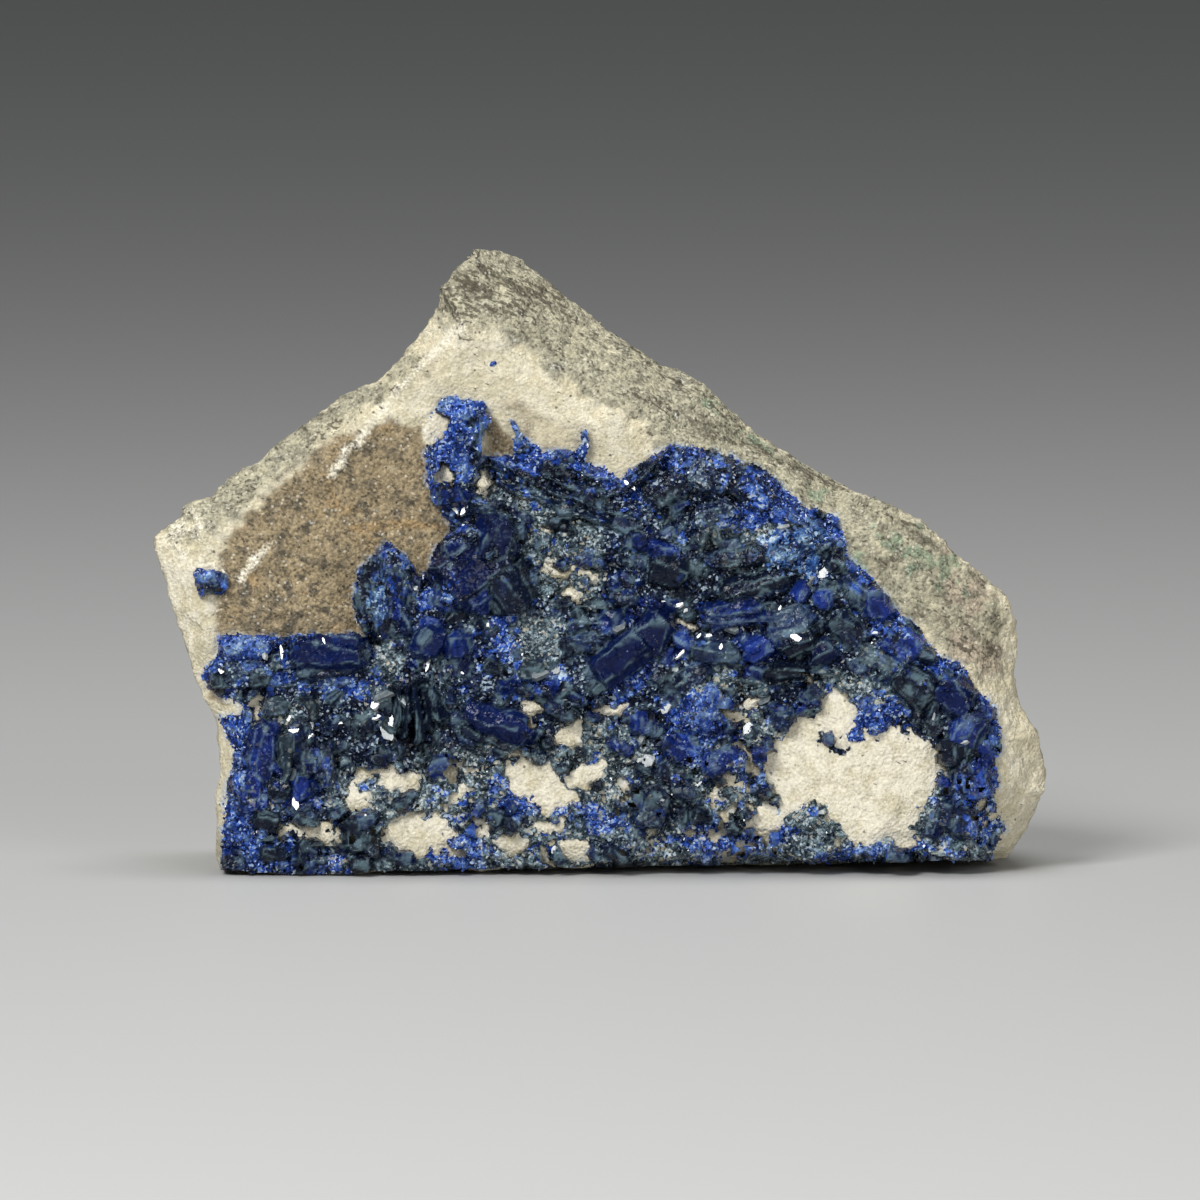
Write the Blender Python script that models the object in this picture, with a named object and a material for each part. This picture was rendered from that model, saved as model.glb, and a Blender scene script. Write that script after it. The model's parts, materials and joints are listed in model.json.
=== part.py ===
"""Azurite specimen: a broken slab of cream sandstone with azurite grown over its front.

Metres, +Z up. The azurite faces -Y. The slab stands on a flat underside at Z = 0, and the
origin is under the middle of its bounding box.

The front is drawn as a map of x and z, with z measured along the slab's face as it is seen
from slightly above. seen_to_world turns a map point and its depth y into a point in space.
"""

import itertools
import math

import bmesh
import bpy
import numpy as np
from mathutils import Matrix, Vector, geometry, noise

MM = 0.001

# Driving dimensions, in millimetres
FRONT_Y = -9.5
FRONT_LEAN = 0.10
BACK_Y = 20.5
BACK_LEAN = 0.17
SIGHT_SLOPE = math.tan(math.radians(5.0))
UNDERSIDE_EXTRA_SLOPE = 0.02
MESH_STEP = 2.8
BACK_STEP = 4.6
WALL_ROUGHNESS = 1.1
CONTACT_GAP = 0.3
KEEP_OUT_GAP = 0.45
SLAB_CENTRE = (-3.0, 25.0)
CRUST_EDGE = 0.4
CRUST_THICK = 1.5
CRUST_LIFT_AT_FLOOR = 0.25
SEED = 11

# The slab's outline, clockwise from its left corner: (x, z) in millimetres
SLAB_OUTLINE = [
    (-44.9, 33.7), (-44.0, 35.0), (-41.9, 35.9), (-41.8, 36.9), (-41.0, 37.5), (-38.4, 38.0),
    (-38.2, 38.8), (-36.0, 40.7), (-34.1, 41.8), (-32.0, 43.8), (-27.8, 46.9), (-24.9, 48.7),
    (-22.3, 49.8), (-20.2, 51.9), (-16.9, 55.9), (-16.0, 57.5), (-15.9, 59.3), (-14.6, 61.0),
    (-12.5, 63.3), (-10.6, 63.2), (-7.9, 61.9), (-4.8, 59.6), (-0.2, 55.8), (4.0, 53.0),
    (5.5, 51.7), (7.9, 51.0), (10.5, 49.5), (15.3, 45.1), (21.9, 40.6), (25.3, 38.6),
    (28.0, 37.9), (30.7, 36.5), (33.2, 34.9), (38.5, 30.1), (40.9, 28.1), (42.1, 24.2),
    (41.7, 20.6), (42.3, 17.5), (44.0, 14.4), (45.0, 10.0), (44.6, 8.3), (42.1, 5.6),
    (40.1, 2.9), (38.8, 2.4), (35.4, 1.6), (31.3, 2.7), (29.7, 1.9), (24.1, 2.8),
    (20.6, 1.6), (18.4, 2.6), (9.9, 2.6), (6.5, 1.7), (4.4, 2.2), (-2.9, 0.8),
    (-6.3, 1.2), (-12.2, 0.5), (-14.9, 1.2), (-25.1, 0.1), (-30.6, 0.0), (-35.4, 0.4),
    (-36.6, 0.9), (-38.5, 4.9), (-38.2, 6.2), (-38.5, 7.7), (-38.0, 10.5), (-38.3, 15.7),
    (-39.9, 18.0), (-41.7, 23.7), (-44.3, 31.7),
]

# The azurite's outline on the front. Its lower run lies outside the slab, which cuts it off.
AZURITE_OUTLINE = [
    (-17.3, 44.7), (-17.3, 45.7), (-16.0, 47.5), (-15.1, 48.1), (-11.5, 47.5), (-10.9, 45.8),
    (-11.8, 43.8), (-11.9, 42.2), (-10.0, 42.0), (-8.2, 42.4), (-9.1, 46.3), (-8.0, 44.6),
    (-5.7, 42.7), (-2.3, 42.6), (-1.7, 44.8), (-1.0, 44.5), (-1.6, 41.7), (2.0, 39.9),
    (5.5, 42.3), (7.1, 43.4), (11.8, 42.8), (16.8, 40.6), (20.3, 37.1), (23.9, 36.1),
    (24.7, 32.0), (26.9, 29.9), (30.8, 25.8), (33.2, 23.0), (36.3, 20.8), (39.9, 16.2),
    (40.2, 13.1), (39.6, 11.5), (40.1, 9.0), (39.5, 8.1), (40.6, 4.6), (38.9, 1.0),
    (38.0, -3.0), (-38.0, -3.0), (-37.9, 3.5), (-37.6, 7.0), (-36.9, 12.3), (-38.1, 16.0),
    (-35.0, 16.9), (-38.2, 17.6), (-39.8, 20.0), (-38.5, 22.0), (-38.0, 24.2), (-32.5, 24.0),
    (-24.8, 24.4), (-23.4, 23.7), (-24.8, 27.0), (-24.2, 30.8), (-21.1, 33.7), (-18.9, 31.4),
    (-18.0, 29.8), (-16.9, 31.7), (-15.0, 35.2), (-16.9, 37.9), (-17.6, 41.0),
]

# Bare stone that shows inside the azurite, from the largest window down
BARE_WINDOWS = [
    [
        (16.5, 11.0), (17.3, 8.4), (18.1, 6.8), (22.8, 5.9), (26.3, 3.4), (31.3, 2.9),
        (32.1, 3.7), (31.3, 6.8), (34.6, 10.9), (32.8, 12.5), (29.7, 15.0), (25.2, 13.7),
        (22.0, 13.2), (19.0, 13.2),
    ],
    [(-22.0, 5.0), (-20.5, 6.6), (-17.2, 6.0), (-15.6, 3.6), (-17.5, 2.2), (-21.4, 2.1)],
    [(-9.8, 11.4), (-6.0, 11.0), (-2.6, 9.4), (-3.0, 7.5), (-7.0, 7.6), (-9.4, 9.4)],
    [(-22.0, 10.6), (-18.9, 10.4), (-19.3, 8.2), (-21.6, 8.4)],
]

SIDE_PATCH_OUTLINE = [
    (-40.7, 30.5), (-40.1, 31.0), (-37.4, 30.3), (-37.2, 29.2), (-37.6, 28.1), (-40.2, 28.2),
]

# Shoulders where the front rounds back into the broken edge: (run, width, fall)
TOP_LEFT_EDGE = [(-44.9, 34.6), (-38.3, 38.4), (-30.0, 45.6), (-20.2, 51.9), (-16.0, 57.5)]
PEAK_EDGE = [(-15.9, 59.3), (-12.5, 63.3), (-9.0, 62.8)]
TOP_RIGHT_EDGE = [(-9.0, 62.8), (-0.2, 55.8), (7.9, 51.0), (15.3, 45.1), (24.5, 39.0)]
RIGHT_EDGE = [(42.1, 24.2), (41.7, 20.6), (42.3, 17.5), (45.0, 10.0), (40.1, 2.9)]
LEFT_EDGE = [(-44.9, 33.7), (-41.7, 23.7), (-38.3, 15.7), (-38.5, 4.9), (-36.6, 0.9)]
LOWER_EDGE = [(-36.6, 0.9), (-30.6, 0.0), (-2.9, 0.8), (18.4, 2.6), (40.1, 2.9)]
SHOULDERS = [
    (TOP_LEFT_EDGE, 3.4, 3.6),
    (PEAK_EDGE, 2.2, 2.0),
    (TOP_RIGHT_EDGE, 7.5, 7.0),
    (RIGHT_EDGE, 4.4, 4.6),
    (LEFT_EDGE, 1.8, 1.8),
    (LOWER_EDGE, 1.2, 0.9),
]

# The right-hand facet falls back from this line, upper left to lower right
FACET_START = (24.0, 37.5)
FACET_END = (40.5, 15.0)
FACET_SLOPE = 0.42

# Ridges and furrows on the front: (run, half width, height towards the viewer)
RIDGES = [
    ([(-13.8, 55.2), (-20.0, 49.2), (-25.5, 42.2), (-26.7, 40.2)], 1.3, 0.7),
    ([(-33.0, 33.7), (-36.0, 29.7)], 0.9, 0.4),
    ([(24.8, 37.7), (26.2, 34.5), (25.8, 32.0)], 0.7, 0.6),
    ([(9.0, 45.7), (16.0, 42.7), (25.0, 39.2)], 0.6, -0.7),
    ([(27.0, 37.7), (30.0, 35.7), (34.0, 33.7), (39.0, 29.7)], 0.5, -0.5),
    ([(-13.0, 54.7), (-4.0, 49.7), (4.0, 45.7), (10.0, 43.7)], 0.9, -0.4),
]
# Domes and pits: (x, z, radius, height towards the viewer)
DOMES = [
    (26.0, 9.5, 9.0, 1.1),
    (40.5, 24.4, 0.9, -0.8),
    (-8.5, 56.0, 5.0, 0.6),
    (-30.0, 38.5, 8.0, -0.6),
    (38.0, 27.0, 3.0, 0.6),
    (-12.0, 52.0, 2.2, -0.5),
]

# Main crystals: x, z, length, width, height, rise, turn, tilt, roll (millimetres and degrees)
MAIN_CRYSTALS = [
    # Tall cluster at the upper left
    (-15.2, 43.6, 7.4, 3.4, 2.6, 0.9, 82, 4, -14),
    (-12.8, 44.8, 5.2, 3.2, 2.4, 1.2, 64, 6, 12),
    (-13.3, 39.8, 7.4, 4.2, 2.6, 0.8, 96, -3, 6),
    (-13.4, 46.6, 4.6, 2.0, 1.8, 1.3, 4, 3, 18),
    # Bar along the left and its dark barrel
    (-27.7, 22.2, 11.2, 4.2, 3.4, 1.2, -3, 2, -14),
    (-35.4, 22.8, 6.4, 3.0, 2.4, 1.0, 3, 0, 12),
    # Upright blade beside the brown stone
    (-20.6, 27.0, 14.0, 5.4, 2.4, 1.0, 97, 3, 18),
    # Dark rounded crystal and the indigo ones under it
    (-12.0, 31.8, 10.2, 8.4, 5.6, 1.6, 10, -4, 8),
    (-14.6, 28.6, 5.0, 4.0, 3.4, 1.4, 40, 8, -12),
    (-9.2, 28.0, 5.6, 4.2, 3.4, 1.2, -30, -6, 14),
    (-17.4, 23.2, 4.6, 3.8, 3.2, 1.6, 70, 4, 14),
    (-14.4, 22.9, 3.8, 3.2, 3.0, 1.5, 96, 6, -14),
    # Fan of black plates
    (-20.3, 16.6, 8.2, 1.0, 3.6, 1.6, 82, 0, 8),
    (-19.2, 16.2, 8.8, 1.0, 4.2, 1.6, 88, 0, 4),
    (-18.0, 16.0, 8.4, 1.0, 4.0, 1.6, 94, 0, -6),
    (-16.9, 16.4, 7.0, 1.0, 3.6, 1.4, 101, 0, -12),
    (-22.0, 16.2, 5.2, 3.4, 1.8, 1.2, 84, 4, 18),
    # Lens-shaped blade and the ledge below it
    (-10.8, 15.6, 10.2, 3.4, 2.6, 1.3, -22, -4, 22),
    (-9.2, 13.0, 6.6, 1.4, 2.2, 0.9, -10, 0, 10),
    # Deep blue flat face in the middle
    (3.6, 23.6, 9.6, 6.4, 3.4, 1.4, 44, 2, -10),
    (-1.4, 25.8, 4.6, 1.2, 2.4, 1.2, 2, 0, 20),
    (-1.2, 24.2, 4.4, 1.1, 2.4, 1.0, -4, 0, 16),
    (7.4, 31.0, 5.6, 4.6, 3.6, 1.5, -18, 4, 12),
    # Blades running to the right
    (14.8, 26.9, 10.8, 3.4, 3.0, 1.6, 15, -2, 14),
    (19.8, 25.4, 6.0, 4.6, 3.0, 1.5, 30, 6, -12),
    (12.6, 23.0, 7.4, 3.2, 2.8, 1.2, 6, 0, -18),
    (17.2, 21.2, 7.0, 3.4, 2.8, 1.3, -16, 6, 10),
    (23.4, 20.6, 6.4, 3.8, 2.8, 1.2, -34, -4, 12),
    (9.0, 20.4, 6.0, 3.0, 2.6, 1.1, 38, 4, 14),
    # Dark curved ledges along the top
    (-7.4, 40.2, 8.8, 2.4, 2.6, 1.2, -16, 0, 16),
    (0.2, 38.0, 8.6, 2.2, 2.6, 1.3, -11, 0, 12),
    (6.6, 39.8, 7.4, 2.6, 2.8, 1.5, 28, 0, 10),
    (-3.6, 36.4, 8.4, 1.8, 2.4, 1.1, -14, 0, 14),
    (4.4, 35.2, 9.0, 1.9, 2.4, 1.2, 4, 0, 10),
    (11.4, 40.4, 6.4, 3.8, 3.2, 1.5, -12, 5, -14),
    (15.0, 38.6, 6.6, 3.4, 3.0, 1.5, -38, 4, 12),
    (12.4, 36.2, 6.4, 3.4, 3.2, 1.6, 24, 0, -12),
    (18.4, 35.2, 6.6, 3.0, 2.6, 1.2, -58, 4, 10),
    (21.8, 33.4, 5.8, 3.2, 2.6, 1.1, 52, 4, -10),
    # Down the right side
    (24.6, 29.4, 6.4, 3.8, 3.0, 1.2, -44, 4, 10),
    (27.6, 25.8, 6.2, 3.8, 3.0, 1.2, -48, 2, -12),
    (29.8, 22.0, 6.2, 4.0, 3.2, 1.3, -36, 4, 12),
    (34.4, 19.2, 5.2, 4.2, 3.2, 1.3, -52, 2, 10),
    (31.6, 17.4, 4.8, 3.6, 3.0, 1.3, 20, 6, -10),
    (36.6, 15.4, 4.8, 3.8, 3.0, 1.2, 74, 4, 14),
    (37.2, 11.2, 5.0, 3.4, 2.6, 1.0, 92, 0, -14),
    (36.4, 7.2, 4.6, 3.6, 2.4, 0.9, 80, 2, 14),
    (37.4, 3.9, 3.4, 3.0, 2.0, 0.7, 30, 0, 10),
    # Deep blue patch and the block at the lower left
    (8.6, 15.4, 6.4, 5.8, 3.0, 1.2, 60, 4, 10),
    (-34.8, 13.6, 6.4, 5.0, 3.0, 1.1, 70, 2, 14),
    (-30.6, 12.4, 6.8, 4.4, 3.0, 1.2, 100, 2, -12),
    (-35.2, 8.6, 5.8, 4.0, 2.8, 1.0, 20, 2, 12),
    (-30.4, 7.2, 6.2, 4.6, 2.8, 1.0, 64, 0, -12),
    (-35.0, 4.0, 4.8, 3.4, 2.2, 0.8, -14, 2, 10),
    (-29.4, 3.4, 5.4, 3.2, 2.2, 0.8, 8, 0, 12),
    (-25.6, 16.2, 5.2, 3.2, 2.4, 1.0, 30, 4, -12),
    # Spikes that stand clear above the top edge
    (-8.6, 43.6, 5.0, 1.3, 1.2, 0.4, 106, 3, 10),
    (-1.7, 43.0, 3.8, 1.3, 1.2, 0.4, 80, 3, -10),
]
# Stretches strewn with small crystals: (x, z, half width, half height, number)
DRUSE_STRETCHES = [
    (-36.0, 22.4, 2.4, 1.6, 2),
    (-14.0, 44.0, 2.2, 3.4, 3),
    (-3.0, 30.8, 4.8, 3.4, 5),
    (14.0, 31.8, 6.0, 2.4, 4),
    (2.0, 17.8, 8.0, 2.6, 6),
    (-27.0, 13.0, 3.6, 4.4, 3),
    (3.0, 6.0, 10.0, 2.4, 6),
    (27.0, 17.6, 4.2, 1.6, 2),
    (37.6, 9.0, 1.4, 4.2, 2),
]
SIDE_PATCH_CRYSTALS = [
    (-39.4, 29.8, 2.6, 1.8, 1.2, 0.6, 30, 0, 12),
    (-38.4, 29.0, 2.2, 1.6, 1.2, 0.7, -40, 0, -12),
]
SPECK = (-10.7, 51.5, 0.9, 0.5, 0.4, 0.6, 35, 0, 0)


def clear_scene():
    """Removes the objects that a new Blender file starts with."""
    for old in list(bpy.data.objects):
        bpy.data.objects.remove(old, do_unlink=True)


def finish_of(name, colour, roughness):
    """A Principled material."""
    material = bpy.data.materials.new(name)
    material.use_nodes = True
    shader = material.node_tree.nodes["Principled BSDF"]
    shader.inputs["Base Color"].default_value = (*colour, 1.0)
    shader.inputs["Roughness"].default_value = roughness
    return material


def wobble(x, y, z, size, seed):
    """Smooth noise from about -1 to 1, with bumps about as wide as size."""
    return noise.noise(Vector((x / size + 7.3 * seed, y / size - 3.1 * seed, z / size)))


def distance_to_run(x, z, run):
    """Distance from a map point to an open run of straight lines."""
    here = Vector((x, z))
    best = 1e9
    for start, end in itertools.pairwise(run):
        a = Vector(start)
        along = Vector(end) - a
        share = max(0.0, min(1.0, (here - a).dot(along) / along.length_squared))
        best = min(best, (here - a - along * share).length)
    return best


def inside(x, z, outline):
    """Whether a map point lies inside a closed outline."""
    crossings = 0
    for (ax, az), (bx, bz) in zip(outline, outline[1:] + outline[:1]):
        if (az > z) != (bz > z) and x < ax + (bx - ax) * (z - az) / (bz - az):
            crossings += 1
    return crossings % 2 == 1


def in_azurite(x, z):
    """Whether azurite covers the stone at a map point."""
    bare = any(inside(x, z, window) for window in BARE_WINDOWS)
    return inside(x, z, AZURITE_OUTLINE) and not bare


def depth_to_azurite_edge(x, z):
    """How far a map point lies from the nearest edge of the azurite."""
    outlines = [AZURITE_OUTLINE, *BARE_WINDOWS]
    return min(distance_to_run(x, z, line + line[:1]) for line in outlines)


def front_y(x, z):
    """The stone's front surface at a map point, as y in millimetres."""
    fall = 0.0
    for run, width, drop in SHOULDERS:
        near = max(0.0, 1.0 - distance_to_run(x, z, run) / width)
        fall = max(fall, drop * near**1.6)
    along = Vector(FACET_END) - Vector(FACET_START)
    past = (Vector((x, z)) - Vector(FACET_START)).dot(Vector((-along.y, along.x)).normalized())
    fall = max(fall, FACET_SLOPE * past)
    rise = 0.0
    for run, half_width, height in RIDGES:
        rise += height * max(0.0, 1.0 - distance_to_run(x, z, run) / half_width)
    for dome_x, dome_z, radius, height in DOMES:
        away = math.hypot(x - dome_x, z - dome_z) / radius
        rise += height * max(0.0, 1.0 - away * away)
    rise += 0.55 * wobble(x, 0.0, z, 11.0, 1) + 0.3 * wobble(x, 0.0, z, 4.0, 2)
    rise += 0.35 * min(1.0, fall) * wobble(x, 0.0, z, 2.2, 3)
    return FRONT_Y + FRONT_LEAN * z + fall - rise


def back_y(x, z):
    """The stone's broken back at a map point, as y in millimetres."""
    rough = 1.3 * wobble(x, 4.0, z, 14.0, 5) + 0.5 * wobble(x, 4.0, z, 5.0, 6)
    ledges = 0.9 * round(1.6 * wobble(x, 9.0, z, 18.0, 8))
    return BACK_Y - BACK_LEAN * z + rough + ledges


def seen_to_world(x, y, z):
    """The point in space, in metres, at depth y behind the map point (x, z)."""
    return Vector((x, y, z - (y - FRONT_Y) * SIGHT_SLOPE)) * MM


def split_run(outline, step):
    """A closed outline with its long sides divided into pieces no longer than step."""
    points = []
    for start, end in zip(outline, outline[1:] + outline[:1]):
        a = Vector(start)
        b = Vector(end)
        pieces = max(1, math.ceil((b - a).length / step))
        points += [a.lerp(b, piece / pieces) for piece in range(pieces)]
    return points


def scattered_points(outline, step, clear, rng):
    """Points about step apart inside an outline, in uneven rows, kept clear of some lines."""
    corners = np.array(outline)
    low = corners.min(axis=0)
    high = corners.max(axis=0)
    points = []
    rows = int((high[1] - low[1]) / (step * 0.87)) + 1
    for row in range(rows):
        for column in range(int((high[0] - low[0]) / step) + 1):
            x = low[0] + (column + 0.5 * (row % 2)) * step + rng.uniform(-0.3, 0.3) * step
            z = low[1] + row * step * 0.87 + rng.uniform(-0.3, 0.3) * step
            away = min(distance_to_run(x, z, line + line[:1]) for line in clear)
            if inside(x, z, outline) and away > 0.45 * step:
                points.append(Vector((x, z)))
    return points


def triangulate(outlines, loose):
    """A triangle mesh of the map that keeps every outline as edges: (points, triangles)."""
    points = []
    edges = []
    for outline in outlines:
        first = len(points)
        points += outline
        edges += [(first + i, first + (i + 1) % len(outline)) for i in range(len(outline))]
    found = geometry.delaunay_2d_cdt(points + loose, edges, [], 0, 1e-4)
    return found[0], found[2]


def kept(points, triangles, wanted):
    """The triangles whose middle satisfies the function wanted."""
    chosen = []
    for triangle in triangles:
        middle = sum((points[i] for i in triangle), Vector((0.0, 0.0))) / 3.0
        if wanted(middle.x, middle.y):
            chosen.append(triangle)
    return chosen


def border_loops(triangles):
    """The closed borders of a triangle mesh, each as a list of point numbers in order."""
    directed = {(t[i], t[(i + 1) % 3]) for t in triangles for i in range(3)}
    following = {a: b for a, b in directed if (b, a) not in directed}
    loops = []
    while following:
        start, here = following.popitem()
        loop = [start]
        while here != start:
            loop.append(here)
            here = following.pop(here)
        loops.append(loop)
    return loops


def mesh_object(name, corners, faces, material=None):
    """An object made of world points and faces, with its faces turned outwards."""
    shape = bmesh.new()
    made = [shape.verts.new(corner) for corner in corners]
    for face in faces:
        shape.faces.new([made[i] for i in face])
    loose = [vert for vert in shape.verts if not vert.link_faces]
    bmesh.ops.delete(shape, geom=loose, context="VERTS")
    bmesh.ops.recalc_face_normals(shape, faces=shape.faces)
    mesh = bpy.data.meshes.new(name)
    shape.to_mesh(mesh)
    shape.free()
    if material:
        mesh.materials.append(material)
    made_object = bpy.data.objects.new(name, mesh)
    bpy.context.scene.collection.objects.link(made_object)
    return made_object


def combine(target, operation, helper, overlapping=False):
    """Applies one Boolean to target and removes the helper. Overlapping parts are merged."""
    modifier = target.modifiers.new("combine", "BOOLEAN")
    modifier.operation = operation
    modifier.solver = "EXACT"
    modifier.object = helper
    modifier.use_self = overlapping
    graph = bpy.context.evaluated_depsgraph_get()
    joined = bpy.data.meshes.new_from_object(target.evaluated_get(graph))
    target.modifiers.clear()
    target.data = joined
    bpy.data.objects.remove(helper, do_unlink=True)


def shell_volume(faces):
    """Signed volume inside a group of faces."""
    total = 0.0
    for face in faces:
        first = face.verts[0].co
        for a, b in itertools.pairwise(face.verts[1:]):
            total += first.dot(a.co.cross(b.co)) / 6.0
    return total


def keep_main_body(target):
    """Drops every shell but the one that holds most, such as chips and sealed pockets."""
    shape = bmesh.new()
    shape.from_mesh(target.data)
    unseen = set(shape.faces)
    shells = []
    while unseen:
        shell = []
        queue = [unseen.pop()]
        while queue:
            face = queue.pop()
            shell.append(face)
            for edge in face.edges:
                for other in edge.link_faces:
                    if other in unseen:
                        unseen.remove(other)
                        queue.append(other)
        shells.append(shell)
    shells.sort(key=shell_volume)
    for shell in shells[:-1]:
        bmesh.ops.delete(shape, geom=shell, context="FACES")
    bmesh.ops.triangulate(shape, faces=shape.faces)
    shape.to_mesh(target.data)
    shape.free()


def underside_z(x):
    """Height in the map of the slab's underside at its front."""
    return 0.3 + 1.4 * max(0.0, min(1.0, (x + 30.0) / 66.0))


def eased(rim, reach):
    """A closed ring of map points, each moved to the middle of its neighbours within reach."""
    number = len(rim)
    width = 2 * reach + 1
    moved = []
    for i in range(number):
        near = [rim[(i + offset) % number] for offset in range(-reach, reach + 1)]
        moved.append(sum(near, Vector((0.0, 0.0))) / width)
    return moved


def wall_point(start, rounded, share):
    """A point on the slab's broken side, share of the way from the front rim to the back."""
    x, z = start
    across = Vector(SLAB_CENTRE) - rounded
    rough = abs(wobble(x, 34.0 * share, z, 9.0, 12)) + 0.5 * wobble(x, 34.0 * share, z, 3.6, 13)
    inward = 0.09 * across.length * share**2.2 + WALL_ROUGHNESS * rough * min(1.0, 4.0 * share)
    side = rounded + across.normalized() * inward
    front = front_y(x, z)
    y = front + (back_y(side.x, side.y) - front) * share
    down = underside_z(x) - (y - FRONT_Y) * UNDERSIDE_EXTRA_SLOPE
    low = max(0.0, min(1.0, (9.0 - z) / 5.0))
    height = side.y * (1.0 - low) + min(z, down) * low
    return side.x, y, height


def make_slab(points, triangles, material):
    """The sandstone: front sheet, broken sides, rough back and flat underside."""
    corners = [seen_to_world(p.x, front_y(p.x, p.y), p.y) for p in points]
    faces = list(triangles)
    rim = border_loops(triangles)[0]
    starts = [points[i] for i in rim]
    ring = rim
    last_seen = None
    for reach, share in enumerate((0.14, 0.34, 0.56, 0.78, 1.0)):
        rounded = eased(starts, reach)
        seen = [wall_point(*pair, share) for pair in zip(starts, rounded)]
        fresh = [len(corners) + i for i in range(len(seen))]
        corners += [seen_to_world(*point) for point in seen]
        for i, here in enumerate(ring):
            after = (i + 1) % len(ring)
            faces.append((here, ring[after], fresh[after]))
            faces.append((here, fresh[after], fresh[i]))
        ring = fresh
        last_seen = seen
    back_rim = [(x, z) for x, _, z in last_seen]
    rng = np.random.default_rng(SEED)
    loose = scattered_points(back_rim, BACK_STEP, [back_rim], rng)
    back_points, back_triangles = triangulate([[Vector(p) for p in back_rim]], loose)
    back_triangles = kept(back_points, back_triangles, lambda x, z: inside(x, z, back_rim))
    lookup = {}
    for number, point in enumerate(back_points):
        nearest = min(range(len(back_rim)), key=lambda i: (Vector(back_rim[i]) - point).length)
        if (Vector(back_rim[nearest]) - point).length < 1e-3:
            lookup[number] = ring[nearest]
            continue
        lookup[number] = len(corners)
        corners.append(seen_to_world(point.x, back_y(point.x, point.y), point.y))
    faces += [tuple(lookup[i] for i in triangle) for triangle in back_triangles]
    return mesh_object("sandstone_matrix", corners, faces, material)


def crust_thickness(x, z):
    """How thick the azurite is under its crystals at a map point."""
    inner = min(1.0, depth_to_azurite_edge(x, z) / 2.6)
    heart = max(0.0, min(1.0, (z - 10.0) / 12.0))
    grain = 0.35 * wobble(x, 0.0, z, 1.7, 21) + 0.25 * wobble(x, 0.0, z, 5.0, 22)
    return CRUST_EDGE + inner * (0.45 + (CRUST_THICK - 0.45) * heart + grain)


def make_crust(name, points, triangles, thickness, material):
    """Azurite grown on part of the front: the same triangles twice, with a rim between."""
    used = sorted({i for triangle in triangles for i in triangle})
    back = {}
    face = {}
    corners = []
    for i in used:
        x, z = points[i]
        z = max(z, CRUST_LIFT_AT_FLOOR)
        y = front_y(points[i].x, points[i].y) - CONTACT_GAP
        back[i] = len(corners)
        corners.append(seen_to_world(x, y, z))
        face[i] = len(corners)
        corners.append(seen_to_world(x, y - thickness(x, z), z))
    faces = []
    for triangle in triangles:
        faces.append(tuple(face[i] for i in triangle))
        faces.append(tuple(back[i] for i in reversed(triangle)))
    for loop in border_loops(triangles):
        for a, b in zip(loop, loop[1:] + loop[:1]):
            faces.append((back[a], back[b], face[b]))
            faces.append((back[a], face[b], face[a]))
    return mesh_object(name, corners, faces, material)


def crystal_planes(length, width, height, rng):
    """Faces of a bladed crystal, as outward normals and distances from its centre."""
    half = np.array([length, width, height]) / 2
    faces = [((0, 0, 1), 1.0), ((0, 0, -1), 1.0)]
    for side in (-1, 1):
        faces.append(((0, side, 0), 1.0))
        faces.append(((0, side, 0.9), 0.68))
        faces.append(((side, 0, 0.7), 0.78))
        faces.append(((side, 0.6, 0), 0.76))
        faces.append(((side, -0.6, 0), 0.76))
    normals = np.array([normal for normal, _ in faces], float)
    reach = np.abs(normals) @ half * np.array([share for _, share in faces])
    reach /= np.linalg.norm(normals, axis=1)
    normals += rng.normal(0.0, 0.07, normals.shape)
    normals /= np.linalg.norm(normals, axis=1)[:, None]
    return normals, reach * rng.uniform(0.88, 1.06, len(faces))


def corners_of(normals, distances):
    """Corners of the closed shape that the planes bound."""
    trios = np.array(list(itertools.combinations(range(len(normals)), 3)))
    systems = normals[trios]
    solvable = np.abs(np.linalg.det(systems)) > 1e-6
    found = np.linalg.solve(systems[solvable], distances[trios[solvable]][:, :, None])[:, :, 0]
    fits = (found @ normals.T <= distances + 1e-7).all(axis=1)
    return np.unique(np.round(found[fits], 5), axis=0)


def add_crystal(shape, crystal, rng):
    """Adds one crystal to a bmesh, set on the stone's front at its map point."""
    x, z, length, width, height, rise, turn, tilt, roll = crystal
    corners = corners_of(*crystal_planes(length, width, height, rng))
    turned = math.radians(turn)
    along = Vector((math.cos(turned), 0.0, math.sin(turned)))
    outwards = Vector((0.0, -1.0, 0.0))
    across = outwards.cross(along)
    frame = Matrix((along, across, outwards)).transposed()
    frame = Matrix.Rotation(math.radians(roll), 3, along) @ frame
    frame = Matrix.Rotation(math.radians(-tilt), 3, across) @ frame
    centre = seen_to_world(x, front_y(x, z) - CONTACT_GAP - rise, z)
    made = [shape.verts.new(centre + frame @ Vector(corner) * MM) for corner in corners]
    hull = bmesh.ops.convex_hull(shape, input=made)
    spare = [item for item in hull["geom_interior"] if isinstance(item, bmesh.types.BMVert)]
    bmesh.ops.delete(shape, geom=spare, context="VERTS")


def crystal_cluster(name, crystals, rng):
    """Several crystals as one helper object, each a closed shape of its own."""
    shape = bmesh.new()
    for crystal in crystals:
        add_crystal(shape, crystal, rng)
    flat = math.radians(0.5)
    bmesh.ops.dissolve_limit(shape, angle_limit=flat, verts=shape.verts, edges=shape.edges)
    bmesh.ops.recalc_face_normals(shape, faces=shape.faces)
    mesh = bpy.data.meshes.new(name)
    shape.to_mesh(mesh)
    shape.free()
    cluster = bpy.data.objects.new(name, mesh)
    bpy.context.scene.collection.objects.link(cluster)
    return cluster


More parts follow.
